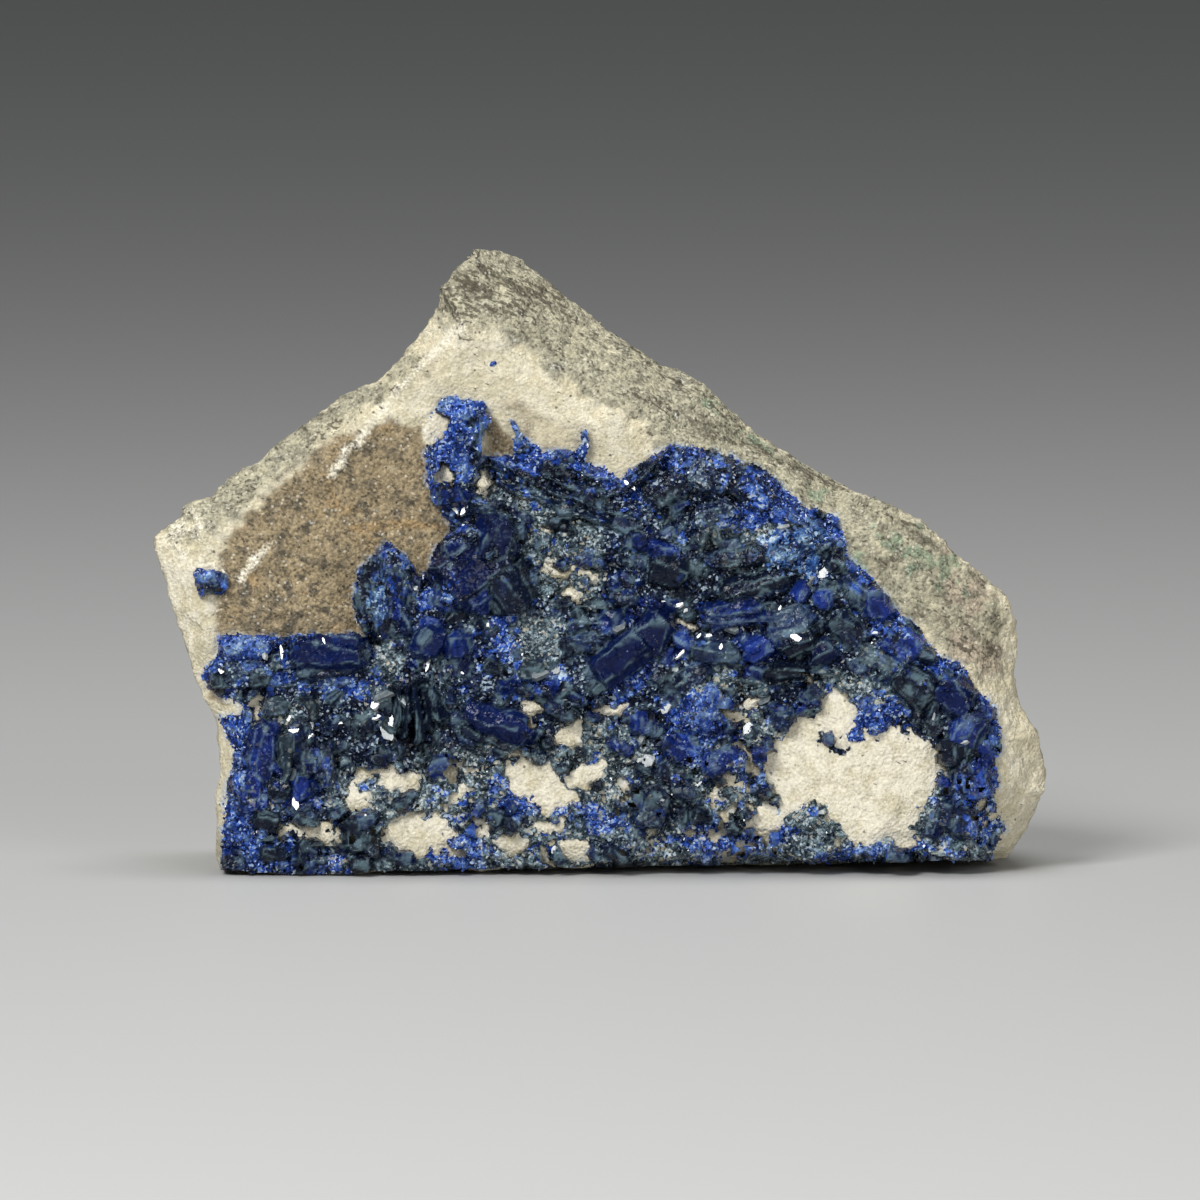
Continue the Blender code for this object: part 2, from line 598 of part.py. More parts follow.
def druse_crystals(rng):
    """The small crystals, strewn over each stretch of druse."""
    crystals = []
    for middle_x, middle_z, half_width, half_height, number in DRUSE_STRETCHES:
        for _ in range(number):
            x = middle_x + rng.uniform(-1, 1) * half_width
            z = middle_z + rng.uniform(-1, 1) * half_height
            if not in_azurite(x, z) or depth_to_azurite_edge(x, z) < 0.8:
                continue
            length = rng.uniform(1.8, 3.2)
            turn = rng.uniform(0, 180)
            tilt = rng.uniform(-25, 25)
            roll = rng.uniform(-30, 30)
            rise = crust_thickness(x, z) + 0.1
            crystals.append((x, z, length, 0.6 * length, 0.5 * length, rise, turn, tilt, roll))
    return crystals


def grow(crust, crystals, slab, rng):
    """Joins crystals to a crust, after cutting away what would reach into the stone."""
    cluster = crystal_cluster("crystals", crystals, rng)
    keep_out = slab.copy()
    keep_out.data = slab.data.copy()
    bpy.context.scene.collection.objects.link(keep_out)
    middle = Vector((SLAB_CENTRE[0], 0.0, SLAB_CENTRE[1])) * MM
    grown = Matrix.Translation(middle) @ Matrix.Diagonal((1.012, 1.0, 1.012, 1.0))
    grown = Matrix.Translation((0.0, -KEEP_OUT_GAP * MM, 0.0)) @ grown
    keep_out.data.transform(grown @ Matrix.Translation(-middle))
    combine(cluster, "DIFFERENCE", keep_out, overlapping=True)
    combine(crust, "UNION", cluster, overlapping=True)
    keep_main_body(crust)


def cut_flat_underside(slab):
    """Cuts the slab off flat at Z = 0, where it stands."""
    cutter = mesh_object(
        "floor_cutter",
        [Vector((x, y, z)) * MM for x in (-80, 80) for y in (-60, 60) for z in (-40, 0)],
        [(0, 1, 3, 2), (4, 6, 7, 5), (0, 4, 5, 1), (2, 3, 7, 6), (0, 2, 6, 4), (1, 5, 7, 3)],
    )
    combine(slab, "DIFFERENCE", cutter)
    keep_main_body(slab)


def centre_on_base(pieces):
    """Moves everything together so that the origin is under the middle of the whole."""
    corners = np.array([vert.co for piece in pieces for vert in piece.data.vertices])
    middle = (corners.min(axis=0) + corners.max(axis=0)) / 2
    shift = Matrix.Translation((-middle[0], -middle[1], -corners[:, 2].min()))
    for piece in pieces:
        piece.data.transform(shift)


def main():
    clear_scene()
    rng = np.random.default_rng(SEED)
    stone = finish_of("sandstone", (0.62, 0.55, 0.42), 0.92)
    blue = finish_of("azurite", (0.01, 0.03, 0.32), 0.16)

    outlines = [SLAB_OUTLINE, AZURITE_OUTLINE, SIDE_PATCH_OUTLINE, *BARE_WINDOWS]
    loose = scattered_points(SLAB_OUTLINE, MESH_STEP, outlines, rng)
    points, triangles = triangulate([split_run(line, MESH_STEP) for line in outlines], loose)
    on_slab = kept(points, triangles, lambda x, z: inside(x, z, SLAB_OUTLINE))
    on_azurite = kept(points, on_slab, in_azurite)
    on_patch = kept(points, on_slab, lambda x, z: inside(x, z, SIDE_PATCH_OUTLINE))

    slab = make_slab(points, on_slab, stone)
    crust = make_crust("azurite_crust", points, on_azurite, crust_thickness, blue)
    patch = make_crust("azurite_side_patch", points, on_patch, lambda x, z: CRUST_EDGE, blue)
    grow(crust, MAIN_CRYSTALS + druse_crystals(rng), slab, rng)
    grow(patch, SIDE_PATCH_CRYSTALS, slab, rng)
    speck = crystal_cluster("azurite_speck", [SPECK], rng)
    speck.data.materials.append(blue)
    cut_flat_underside(slab)
    centre_on_base([slab, crust, patch, speck])


if __name__ == "__main__":
    main()
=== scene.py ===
"""Azurite specimen: the finished look of the slab, its azurite and the studio around it.

Metres, +Z up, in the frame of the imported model. The azurite faces -Y. The front is worked
on as a map in millimetres: x, and the height z at which a point is seen along the line of
sight, which looks down by a few degrees.
"""

import itertools
import json
import logging
import math
from collections.abc import Callable
from dataclasses import dataclass, field
from enum import Enum

import bmesh
import bpy
import numpy as np
from mathutils import Matrix, Vector, geometry
from mathutils.bvhtree import BVHTree

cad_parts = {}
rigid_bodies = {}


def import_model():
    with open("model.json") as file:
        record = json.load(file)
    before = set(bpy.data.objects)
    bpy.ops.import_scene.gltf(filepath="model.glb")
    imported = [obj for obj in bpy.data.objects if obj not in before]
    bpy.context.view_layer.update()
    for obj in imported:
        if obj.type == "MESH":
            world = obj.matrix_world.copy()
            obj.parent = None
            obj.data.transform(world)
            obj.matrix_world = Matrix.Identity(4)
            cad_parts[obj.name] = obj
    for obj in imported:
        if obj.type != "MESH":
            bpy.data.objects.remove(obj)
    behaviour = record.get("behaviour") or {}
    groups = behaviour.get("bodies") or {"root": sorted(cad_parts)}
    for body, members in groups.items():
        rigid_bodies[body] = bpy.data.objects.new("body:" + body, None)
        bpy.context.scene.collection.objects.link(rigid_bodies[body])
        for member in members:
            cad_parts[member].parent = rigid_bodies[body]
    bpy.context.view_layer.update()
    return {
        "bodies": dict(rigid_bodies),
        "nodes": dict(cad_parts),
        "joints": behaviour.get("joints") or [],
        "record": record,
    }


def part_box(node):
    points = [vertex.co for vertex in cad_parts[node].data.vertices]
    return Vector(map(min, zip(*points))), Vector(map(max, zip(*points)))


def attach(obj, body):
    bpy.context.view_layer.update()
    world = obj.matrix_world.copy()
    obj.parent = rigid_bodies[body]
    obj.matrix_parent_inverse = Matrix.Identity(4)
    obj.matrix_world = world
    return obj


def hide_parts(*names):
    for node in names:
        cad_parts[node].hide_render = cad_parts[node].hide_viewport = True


LOG = logging.getLogger("azurite_specimen")

MM = 0.001
SEED = 11
LIP_Y = -14.0
SIGHT_DEGREES = 5.0
SIGHT_SLOPE = math.tan(math.radians(SIGHT_DEGREES))
# Height that stands for no azurite at all, and a distance beyond all others, in millimetres
NOWHERE = -99.0
ENDLESS = 1e9
# Least height of the crust and of the small crystals above the floor, in millimetres
CRUST_FOOT = 0.15
DRUSE_FOOT = 0.12
# Height up to which the stone's underside stays flat, in millimetres
FLAT_FOOT = 0.25
# How strongly loose crystals and broken faces bend light
CRYSTAL_IOR = 1.76

# Where the azurite ends on the front: (x, z) in millimetres. It runs on past the slab's foot.
AZURITE_OUTLINE = [
    (-17.3, 44.7), (-17.3, 45.7), (-16.0, 47.5), (-15.1, 48.1), (-11.5, 47.5), (-10.9, 45.8),
    (-11.8, 43.8), (-11.9, 42.2), (-10.0, 42.0), (-8.2, 42.4), (-9.1, 46.3), (-8.0, 44.6),
    (-5.7, 42.7), (-2.3, 42.6), (-1.7, 44.8), (-1.0, 44.5), (-1.6, 41.7), (2.0, 39.9),
    (5.5, 42.3), (7.1, 43.4), (11.8, 42.8), (16.8, 40.6), (20.3, 37.1), (23.9, 36.1),
    (24.7, 32.0), (26.9, 29.9), (30.8, 25.8), (33.2, 23.0), (36.3, 20.8), (39.9, 16.2),
    (40.2, 13.1), (39.6, 11.5), (40.1, 9.0), (39.5, 8.1), (40.6, 4.6), (38.9, 1.0),
    (38.0, -3.0), (-38.0, -3.0), (-37.9, 3.5), (-37.6, 7.0), (-36.9, 12.3), (-38.1, 16.0),
    (-35.0, 16.9), (-38.2, 17.6), (-39.8, 20.0), (-38.5, 22.0), (-38.0, 24.2), (-32.5, 24.0),
    (-24.8, 24.4), (-23.4, 23.7), (-24.8, 27.0), (-24.2, 30.8), (-21.1, 33.7), (-18.9, 31.4),
    (-18.0, 29.8), (-16.9, 31.7), (-15.0, 35.2), (-16.9, 37.9), (-17.6, 41.0),
]
WINDOW_OUTLINE = [
    (16.5, 11.0), (17.3, 8.4), (18.1, 6.8), (22.8, 5.9), (26.3, 3.4), (31.3, 2.9),
    (32.1, 3.7), (31.3, 6.8), (34.6, 10.9), (32.8, 12.5), (29.7, 15.4), (28.2, 13.6),
    (26.4, 15.6), (23.2, 18.7), (22.3, 16.6), (19.0, 15.2), (17.5, 12.2),
]
SIDE_PATCH_OUTLINE = [
    (-40.7, 30.5), (-40.1, 31.0), (-37.4, 30.3), (-37.2, 29.2), (-37.6, 28.1), (-40.2, 28.2),
]

# Bare spots inside the azurite: x, z, half width, half height, turn in degrees
BARE_SPOTS = [
    (-15.3, 39.9, 1.1, 1.0, 0), (-16.4, 44.9, 1.0, 1.5, -15), (-11.4, 39.4, 0.7, 1.3, -14),
    (-4.9, 35.2, 1.0, 0.35, 0), (-4.5, 30.9, 1.9, 0.45, 6), (-2.9, 28.5, 1.1, 0.9, -20),
    (-0.6, 30.2, 1.0, 0.4, -28), (-18.2, 4.3, 3.2, 1.9, 8), (-20.4, 9.4, 2.4, 1.2, -8),
    (-24.4, 8.0, 1.0, 1.6, 0), (-23.6, 10.6, 0.9, 0.6, 0), (-6.4, 9.4, 4.0, 1.9, -32),
    (-1.4, 10.6, 1.9, 1.2, 12), (-2.9, 14.4, 1.6, 0.9, 20), (-6.8, 16.6, 1.2, 0.9, -30),
    (1.2, 16.9, 1.4, 0.6, 0), (-5.2, 5.2, 1.7, 0.6, -6), (-2.6, 3.0, 1.3, 1.0, 0),
    (-8.8, 3.3, 1.3, 0.7, 0), (-12.0, 4.6, 0.8, 0.6, 0), (5.6, 3.9, 1.1, 0.6, 10),
    (16.2, 5.7, 1.9, 1.1, 10), (13.2, 9.4, 1.0, 0.6, 0), (11.2, 8.2, 0.8, 0.5, 0),
    (9.0, 25.6, 1.0, 0.8, 0), (-34.6, 17.0, 0.9, 0.8, 0), (13.6, 16.0, 1.2, 0.7, 20),
    (15.4, 17.4, 0.9, 0.7, -20), (20.4, 20.0, 0.9, 0.5, 0), (-31.0, 4.4, 1.0, 0.6, 0),
    (-28.0, 4.2, 1.6, 0.8, 8), (3.0, 8.6, 0.8, 0.5, 0), (-13.4, 8.6, 0.8, 0.5, 0),
]
# Azurite that stands inside the bare window: x, z, half width, half height, turn in degrees
WINDOW_ISLANDS = [
    (20.6, 6.0, 2.2, 1.0, 8), (25.6, 14.4, 0.9, 1.1, -40), (23.1, 13.6, 1.6, 0.8, -8),
    (27.6, 15.7, 2.0, 0.6, 12), (24.6, 12.6, 0.7, 0.5, 0),
]


class Habit(Enum):
    """How a patch or a crystal of azurite looks."""

    DARK = "dark"
    INDIGO = "indigo"
    ELECTRIC = "electric"
    SKY = "sky"
    GREY = "grey"


DARK, INDIGO, ELECTRIC, SKY, GREY = Habit

# Patches of the crust by habit: x, z, half width, half height, turn in degrees
PATCHES = {
    ELECTRIC: (
        (-13.6, 46.6, 3.2, 1.8, 0), (-15.6, 42.4, 2.2, 3.4, 20), (-5.4, 42.0, 4.2, 2.0, -20),
        (0.2, 40.6, 4.2, 1.8, -24), (8.0, 42.4, 4.4, 1.2, 12), (16.6, 38.6, 2.0, 3.6, 48),
        (14.6, 36.2, 3.2, 1.2, 12), (23.0, 34.4, 1.6, 2.4, 0), (27.8, 27.4, 1.4, 5.0, 42),
        (33.8, 21.0, 2.0, 5.0, 48), (38.8, 14.4, 1.4, 5.0, 4), (37.6, 7.8, 2.6, 4.4, 0),
        (-35.4, 23.2, 3.4, 1.6, 0), (-27.6, 19.6, 6.4, 1.1, -4), (-36.2, 12.4, 1.0, 5.4, 4),
        (-35.2, 4.0, 2.4, 3.0, 0), (-30.0, 2.0, 5.0, 1.4, 0), (-14.4, 2.6, 3.4, 1.6, 0),
        (-7.6, 7.4, 4.4, 1.6, -20), (9.8, 15.6, 3.6, 3.2, 0), (2.6, 19.4, 2.4, 1.6, 0),
        (-6.6, 19.0, 3.0, 2.0, 0), (-15.6, 28.0, 2.6, 1.6, 30), (-9.6, 26.0, 1.4, 3.6, -8),
        (15.2, 10.6, 1.8, 2.0, 0), (13.0, 3.8, 6.0, 1.4, 0), (28.0, 2.6, 6.0, 0.9, 0),
        (-0.6, 5.6, 3.0, 1.2, 0), (13.6, 26.4, 3.0, 1.4, 20), (27.0, 15.4, 3.2, 1.4, 16),
    ),
    SKY: (
        (19.4, 32.8, 4.4, 2.6, 18), (-22.4, 27.6, 1.4, 2.6, 0),
    ),
    GREY: (
        (-3.4, 31.6, 4.6, 4.6, 0), (-6.8, 24.0, 3.6, 2.4, 0), (-11.8, 9.6, 8.0, 3.8, 0),
        (0.0, 13.0, 5.6, 3.0, 0), (1.6, 8.4, 4.6, 4.6, 0), (-21.6, 19.8, 2.0, 3.2, 0),
        (-8.0, 38.0, 4.6, 1.4, -20), (13.6, 33.6, 4.0, 2.0, 10), (25.6, 18.6, 4.4, 1.6, 0),
        (12.4, 20.4, 4.4, 2.0, 0), (-32.6, 15.2, 3.0, 2.0, 0), (16.0, 13.8, 2.2, 2.6, 0),
        (-34.0, 7.6, 1.6, 2.2, 0),
    ),
    DARK: (
        (-26.0, 14.4, 3.2, 2.6, 0), (11.0, 39.2, 7.0, 3.6, 0), (7.2, 30.0, 3.6, 3.2, 0),
        (-2.0, 38.4, 8.0, 1.2, -14), (-12.0, 33.6, 4.6, 3.6, 0), (17.4, 28.6, 5.6, 1.8, 16),
        (29.6, 23.4, 4.0, 3.0, -44), (34.6, 16.4, 4.4, 3.6, 0), (-18.0, 16.4, 3.6, 4.6, 0),
        (-9.6, 15.6, 5.0, 2.8, -22), (6.0, 5.4, 3.8, 3.6, 0), (-24.2, 4.0, 2.4, 2.0, 0),
        (-30.2, 3.6, 1.4, 2.6, 0), (8.4, 11.4, 5.0, 2.2, 0), (36.6, 5.0, 1.4, 2.2, 0),
        (24.6, 22.6, 4.0, 2.0, 0), (-17.0, 20.0, 2.4, 2.0, 0),
    ),
    INDIGO: (
        (3.8, 23.6, 4.8, 3.6, 40), (-31.0, 10.6, 4.0, 4.4, 0), (-16.0, 23.2, 3.6, 2.2, 0),
        (17.0, 22.4, 5.0, 2.4, 0), (11.2, 13.2, 4.0, 2.4, 0), (-28.0, 22.6, 5.4, 1.8, -3),
    ),
}


@dataclass(frozen=True)
class Blade:
    """One crystal on the front: its place, size and lie in millimetres and degrees.

    Shade lightens the crystal above zero and darkens it below.
    """

    habit: Habit
    x: float
    z: float
    length: float
    width: float
    height: float
    rise: float
    turn: float
    tilt: float = 0.0
    roll: float = 0.0
    plies: int = 2
    polish: float = 1.0
    shade: float = 0.0


BLADES = [
    # Tall cluster at the upper left
    Blade(ELECTRIC, -14.8, 42.6, 9.0, 3.6, 3.0, 0.9, 80, 4, -16, 3, 0.2),
    Blade(ELECTRIC, -13.4, 46.8, 4.8, 2.0, 2.4, 0.9, 14, 3, 18, 2, 0.1),
    # Painted shade: a dark blade laid along the column's right side, where it lies in shade.
    Blade(DARK, -11.9, 44.0, 6.6, 1.9, 2.8, 1.1, 78, 4, 14, 2, 0.7),
    Blade(INDIGO, -14.9, 38.4, 3.2, 3.4, 2.6, 0.9, 110, -4, -8, 2, 0.7),
    Blade(GREY, -14.2, 40.9, 2.6, 1.2, 2.2, 1.0, 24, 0, 10, 1, 0.4),
    # Bar along the left, its dark barrel and a dark blade that paints the shadow under it
    Blade(INDIGO, -27.4, 22.4, 9.6, 3.4, 3.8, 1.4, -2, 1, 5, 2, 0.95, -0.3),
    # Painted shadow: a dark blade, facing down, where the barrel's shadow falls.
    Blade(DARK, -26.8, 20.9, 8.6, 1.4, 3.0, 0.9, -2, 0, 34, 1),
    Blade(ELECTRIC, -29.0, 23.8, 6.6, 1.4, 3.2, 0.9, 4, 0, -26, 2, 0.3),
    Blade(ELECTRIC, -35.4, 23.0, 6.0, 2.4, 2.8, 0.9, 2, 0, -16, 3, 0.2),
    Blade(DARK, -35.0, 20.6, 6.4, 2.2, 2.4, 0.7, 6, 0, 16, 2, 0.6),
    Blade(GREY, -31.6, 21.6, 3.0, 0.7, 3.4, 1.2, 98, 0, 8, 1, 0.8),
    Blade(GREY, -32.4, 21.4, 2.6, 0.6, 3.2, 1.1, 104, 0, -8, 1, 0.8),
    # Upright blade beside the brown stone
    Blade(DARK, -22.3, 28.2, 11.6, 3.0, 3.2, 1.2, 106, 2, 24, 3, 0.6),
    Blade(INDIGO, -20.6, 29.2, 8.8, 2.8, 3.0, 1.1, 88, 2, -12, 3, 0.6),
    Blade(SKY, -22.1, 27.4, 4.6, 1.3, 3.2, 1.4, 96, 0, 6, 2, 0.2),
    Blade(DARK, -24.4, 26.4, 6.2, 1.8, 2.6, 0.7, 100, 0, 22, 2, 0.6),
    # Dark rounded crystal with blue faces and the indigo ones under it
    Blade(INDIGO, -12.4, 31.0, 9.0, 8.4, 5.0, 1.2, 34, -5, -5, 2, 0.86, -0.2),
    Blade(INDIGO, -10.6, 33.6, 5.6, 4.2, 3.8, 1.9, 66, 3, 10, 2, 0.95, -0.2),
    Blade(INDIGO, -13.8, 33.2, 5.0, 3.4, 3.6, 1.7, 30, -2, -9, 2, 0.88, -0.1),
    Blade(INDIGO, -14.6, 28.4, 4.6, 3.6, 3.4, 1.3, 40, 8, -12, 2, 0.95, -0.1),
    Blade(DARK, -9.4, 28.6, 5.4, 4.4, 3.8, 1.4, -62, -5, 9, 2, 0.9, -0.5),
    Blade(SKY, -12.8, 33.9, 1.5, 0.8, 2.6, 3.4, 30, 0, 8, 2, 0.1),
    Blade(SKY, -11.0, 32.3, 1.7, 0.6, 2.6, 3.6, 34, 0, -8, 2, 0.1),
    Blade(SKY, -15.2, 27.8, 1.5, 0.9, 2.4, 2.4, 12, 0, 6, 2, 0.1),
    Blade(SKY, -15.0, 31.0, 1.5, 0.6, 2.6, 2.8, 60, 0, 6, 2, 0.1),
    Blade(INDIGO, -17.2, 23.4, 4.0, 3.4, 3.2, 1.5, 70, 4, 6, 1, 1.0, -0.2),
    Blade(INDIGO, -14.3, 23.0, 3.4, 2.8, 3.0, 1.4, 96, 6, -14, 1),
    Blade(GREY, -15.6, 20.4, 3.4, 1.6, 2.6, 1.2, 74, 0, 12, 2, 0.8),
    # Fan of black plates
    Blade(DARK, -20.2, 17.0, 7.0, 0.8, 4.0, 1.2, 80, 0, 6, 1),
    Blade(DARK, -19.2, 16.6, 7.8, 0.8, 4.4, 1.5, 86, 0, 4, 1),
    Blade(DARK, -18.2, 16.4, 7.6, 0.7, 4.4, 1.6, 91, 0, -4, 1),
    Blade(DARK, -17.2, 16.6, 7.0, 0.8, 4.0, 1.4, 98, 0, -10, 1),
    Blade(DARK, -16.2, 17.2, 5.6, 0.8, 3.6, 1.1, 104, 0, -14, 1),
    # Pale grey broken faces left of the fan
    Blade(GREY, -21.8, 17.6, 2.6, 1.6, 2.0, 1.1, 24, 6, 10, 1),
    Blade(GREY, -21.0, 15.0, 2.2, 1.5, 2.0, 1.1, 118, 6, -10, 1),
    Blade(GREY, -23.4, 15.8, 2.4, 1.4, 1.8, 0.8, 60, 0, 14, 1, 0.8),
    # Lens-shaped blade, a darkened blade that paints the shadow beneath it, and the ledge below it
    Blade(INDIGO, -10.4, 15.5, 9.8, 2.8, 3.2, 1.6, -24, -3, -12, 1, 1.0, -0.6),
    # Painted shadow: a dark blade, darkened further, where the lens casts its shadow.
    Blade(DARK, -11.0, 13.9, 9.0, 1.2, 2.8, 1.0, -24, -3, 30, 1, 1.0, -0.6),
    Blade(GREY, -9.2, 12.7, 6.4, 1.0, 2.0, 0.6, -10, 0, 10, 1, 0.5),
    # Deep blue flat face in the middle
    Blade(INDIGO, 2.2, 22.0, 8.4, 4.2, 3.4, 1.4, 38, 2, -6, 1, 1.0, -0.2),
    Blade(INDIGO, 5.2, 24.4, 5.4, 3.4, 3.4, 1.7, 56, 2, 8, 1, 1.0, 0.1),
    Blade(DARK, -1.2, 23.4, 5.0, 2.2, 2.4, 0.8, -4, 0, 18, 1, 0.9),
    Blade(DARK, 6.9, 30.4, 4.4, 3.4, 3.2, 1.6, -14, 4, 8, 1, 1.0, -0.6),
    Blade(INDIGO, 6.4, 32.6, 5.4, 1.6, 3.0, 1.2, -18, 4, -20, 1, 0.8),
    Blade(GREY, -6.8, 20.6, 3.2, 2.2, 2.6, 0.8, 10, 0, 10, 1, 0.8),
    # Long blades running to the right
    Blade(DARK, 15.4, 29.3, 9.6, 1.7, 3.2, 1.6, 14, -1, 24, 2, 0.9),
    Blade(INDIGO, 13.8, 26.0, 8.4, 2.1, 3.0, 1.4, 14, -1, 20, 2, 0.9),
    Blade(DARK, 13.6, 31.9, 8.2, 1.5, 2.8, 1.2, 9, -1, 20, 2, 0.7),
    Blade(DARK, 19.0, 25.0, 5.8, 3.4, 3.6, 1.7, 20, 6, -12, 2, 0.95, 0.2),
    Blade(INDIGO, 20.0, 28.4, 2.4, 1.8, 2.6, 1.2, 60, 0, 10, 1),
    Blade(INDIGO, 22.4, 27.6, 2.4, 2.0, 2.6, 1.2, 100, 0, -10, 1),
    Blade(INDIGO, 15.8, 22.8, 3.2, 2.6, 2.8, 1.3, 30, 0, 12, 1),
    Blade(INDIGO, 22.2, 22.6, 3.6, 2.8, 2.8, 1.2, 20, 0, -12, 1),
    Blade(INDIGO, 27.4, 27.2, 3.6, 3.0, 3.0, 1.2, 100, 0, 8, 1),
    Blade(DARK, 11.8, 22.2, 6.0, 2.4, 2.6, 1.0, -8, 0, 14),
    Blade(DARK, 18.4, 20.6, 5.6, 2.4, 2.6, 1.0, 6, 0, 12),
    Blade(DARK, 24.8, 24.8, 5.2, 3.0, 2.8, 1.1, -40, 2, 12, 2, 0.9),
    Blade(DARK, 9.0, 19.8, 5.0, 2.4, 2.4, 0.9, 34, 4, 14, 2, 0.9),
    Blade(GREY, 27.8, 21.6, 5.6, 1.8, 2.6, 0.9, -20, 0, 12, 2, 0.8),
    # Upper right dome of broken dark crystals
    Blade(DARK, 6.6, 38.6, 5.4, 2.8, 3.0, 1.4, 34, 0, 10, 2, 0.6),
    Blade(DARK, 11.0, 40.0, 5.6, 3.2, 3.2, 1.4, -8, 5, -14, 2, 0.6),
    Blade(DARK, 15.0, 38.2, 5.4, 3.0, 3.0, 1.4, -34, 4, 12, 2, 0.6),
    Blade(DARK, 11.6, 36.2, 5.6, 2.8, 3.2, 1.5, 20, 0, -12, 2, 0.6),
    Blade(GREY, 10.4, 34.4, 3.6, 0.9, 3.4, 1.3, 66, 0, 0, 1, 0.8),
    Blade(GREY, 11.6, 34.2, 3.0, 0.8, 3.2, 1.2, 112, 0, 0, 1, 0.8),
    Blade(ELECTRIC, 19.0, 35.0, 5.8, 2.4, 2.6, 0.9, -46, 4, 10, 3, 0.2),
    Blade(SKY, 19.4, 33.0, 5.6, 1.2, 2.8, 1.2, 30, 4, -10, 3, 0.2),
    Blade(SKY, 18.2, 31.8, 5.0, 1.1, 2.6, 1.0, 26, 4, 10, 3, 0.2),
    # Down the right side
    Blade(DARK, 25.6, 28.6, 5.0, 2.8, 2.8, 1.0, -48, 4, 10, 2, 0.8),
    Blade(INDIGO, 30.6, 23.4, 5.0, 2.8, 2.8, 0.9, -44, 2, -12, 2, 0.8),
    Blade(DARK, 31.4, 18.8, 5.4, 3.4, 3.0, 1.1, -36, 4, 12, 2, 0.9),
    Blade(INDIGO, 35.4, 17.8, 5.0, 3.6, 3.2, 1.2, -52, 2, 10, 2, 0.8),
    Blade(INDIGO, 37.0, 14.6, 4.2, 3.2, 3.0, 1.1, 74, 4, 14, 2, 0.9),
    Blade(DARK, 35.2, 12.4, 3.6, 2.6, 2.8, 1.0, 92, 0, -14, 2, 0.9),
    Blade(INDIGO, 37.6, 9.6, 4.4, 2.8, 2.6, 0.9, 96, 2, 14, 2, 0.7),
    Blade(DARK, 36.4, 5.4, 4.0, 2.6, 2.2, 0.7, 80, 0, 10, 2, 0.8),
    # Blue patch right of the middle
    Blade(ELECTRIC, 10.6, 16.8, 5.2, 3.8, 2.8, 1.0, 64, 4, 10, 3, 0.3),
    Blade(INDIGO, 8.0, 12.6, 5.2, 2.6, 2.4, 0.8, -30, 4, 10, 2, 0.7),
    Blade(INDIGO, 12.4, 11.4, 4.8, 2.8, 2.4, 0.8, 24, 4, -10, 2, 0.7),
    Blade(DARK, 7.2, 9.8, 5.0, 2.6, 2.2, 0.7, -50, 0, 10, 2, 0.8),
    Blade(DARK, 5.2, 6.6, 4.8, 4.0, 2.4, 0.7, 70, 0, 10, 2, 0.7),
    # Block of upright crystals at the lower left
    Blade(INDIGO, -33.6, 12.2, 7.4, 2.4, 2.8, 1.0, 84, 2, 16, 2, 0.8),
    Blade(DARK, -29.6, 12.6, 7.4, 2.6, 3.2, 1.1, 96, 2, -14, 2, 0.9),
    Blade(DARK, -27.4, 11.0, 6.4, 2.0, 2.8, 0.9, 88, 2, 14, 2, 0.9),
    Blade(GREY, -31.4, 11.6, 6.6, 1.2, 2.8, 1.1, 82, 0, 10, 1, 0.9),
    Blade(GREY, -28.8, 16.6, 2.8, 0.9, 2.6, 1.0, 98, 0, 8, 1, 0.9),
    Blade(GREY, -32.4, 16.8, 2.6, 1.8, 2.2, 0.9, 10, 0, 10, 1, 0.8),
    Blade(INDIGO, -35.0, 8.4, 5.4, 2.6, 2.6, 0.8, 100, 2, 12, 2, 0.6),
    Blade(DARK, -24.4, 4.0, 3.6, 3.2, 2.4, 0.6, 92, 0, 10),
    Blade(DARK, -29.8, 2.4, 3.4, 1.6, 2.0, 0.5, 60, 0, 12),
    # Spikes that stand clear above the top edge
    Blade(ELECTRIC, -8.3, 43.9, 5.4, 1.2, 1.6, 0.3, 112, 2, 10, 2, 0.3),
    Blade(ELECTRIC, -1.7, 43.2, 3.8, 1.1, 1.6, 0.3, 80, 2, -10, 2, 0.3),
]


@dataclass(frozen=True)
class Ledge:
    """The broken edge of a layer of crystals: a crest that falls away on both sides.

    Attributes:
        habit: How the layer looks.
        run: Its crest, as (x, z) in millimetres, from left to right.
        height: How far the crest stands out.
        above: Width of the fall above the crest.
        below: Width of the fall below it.
    """

    habit: Habit
    run: tuple
    height: float
    above: float
    below: float


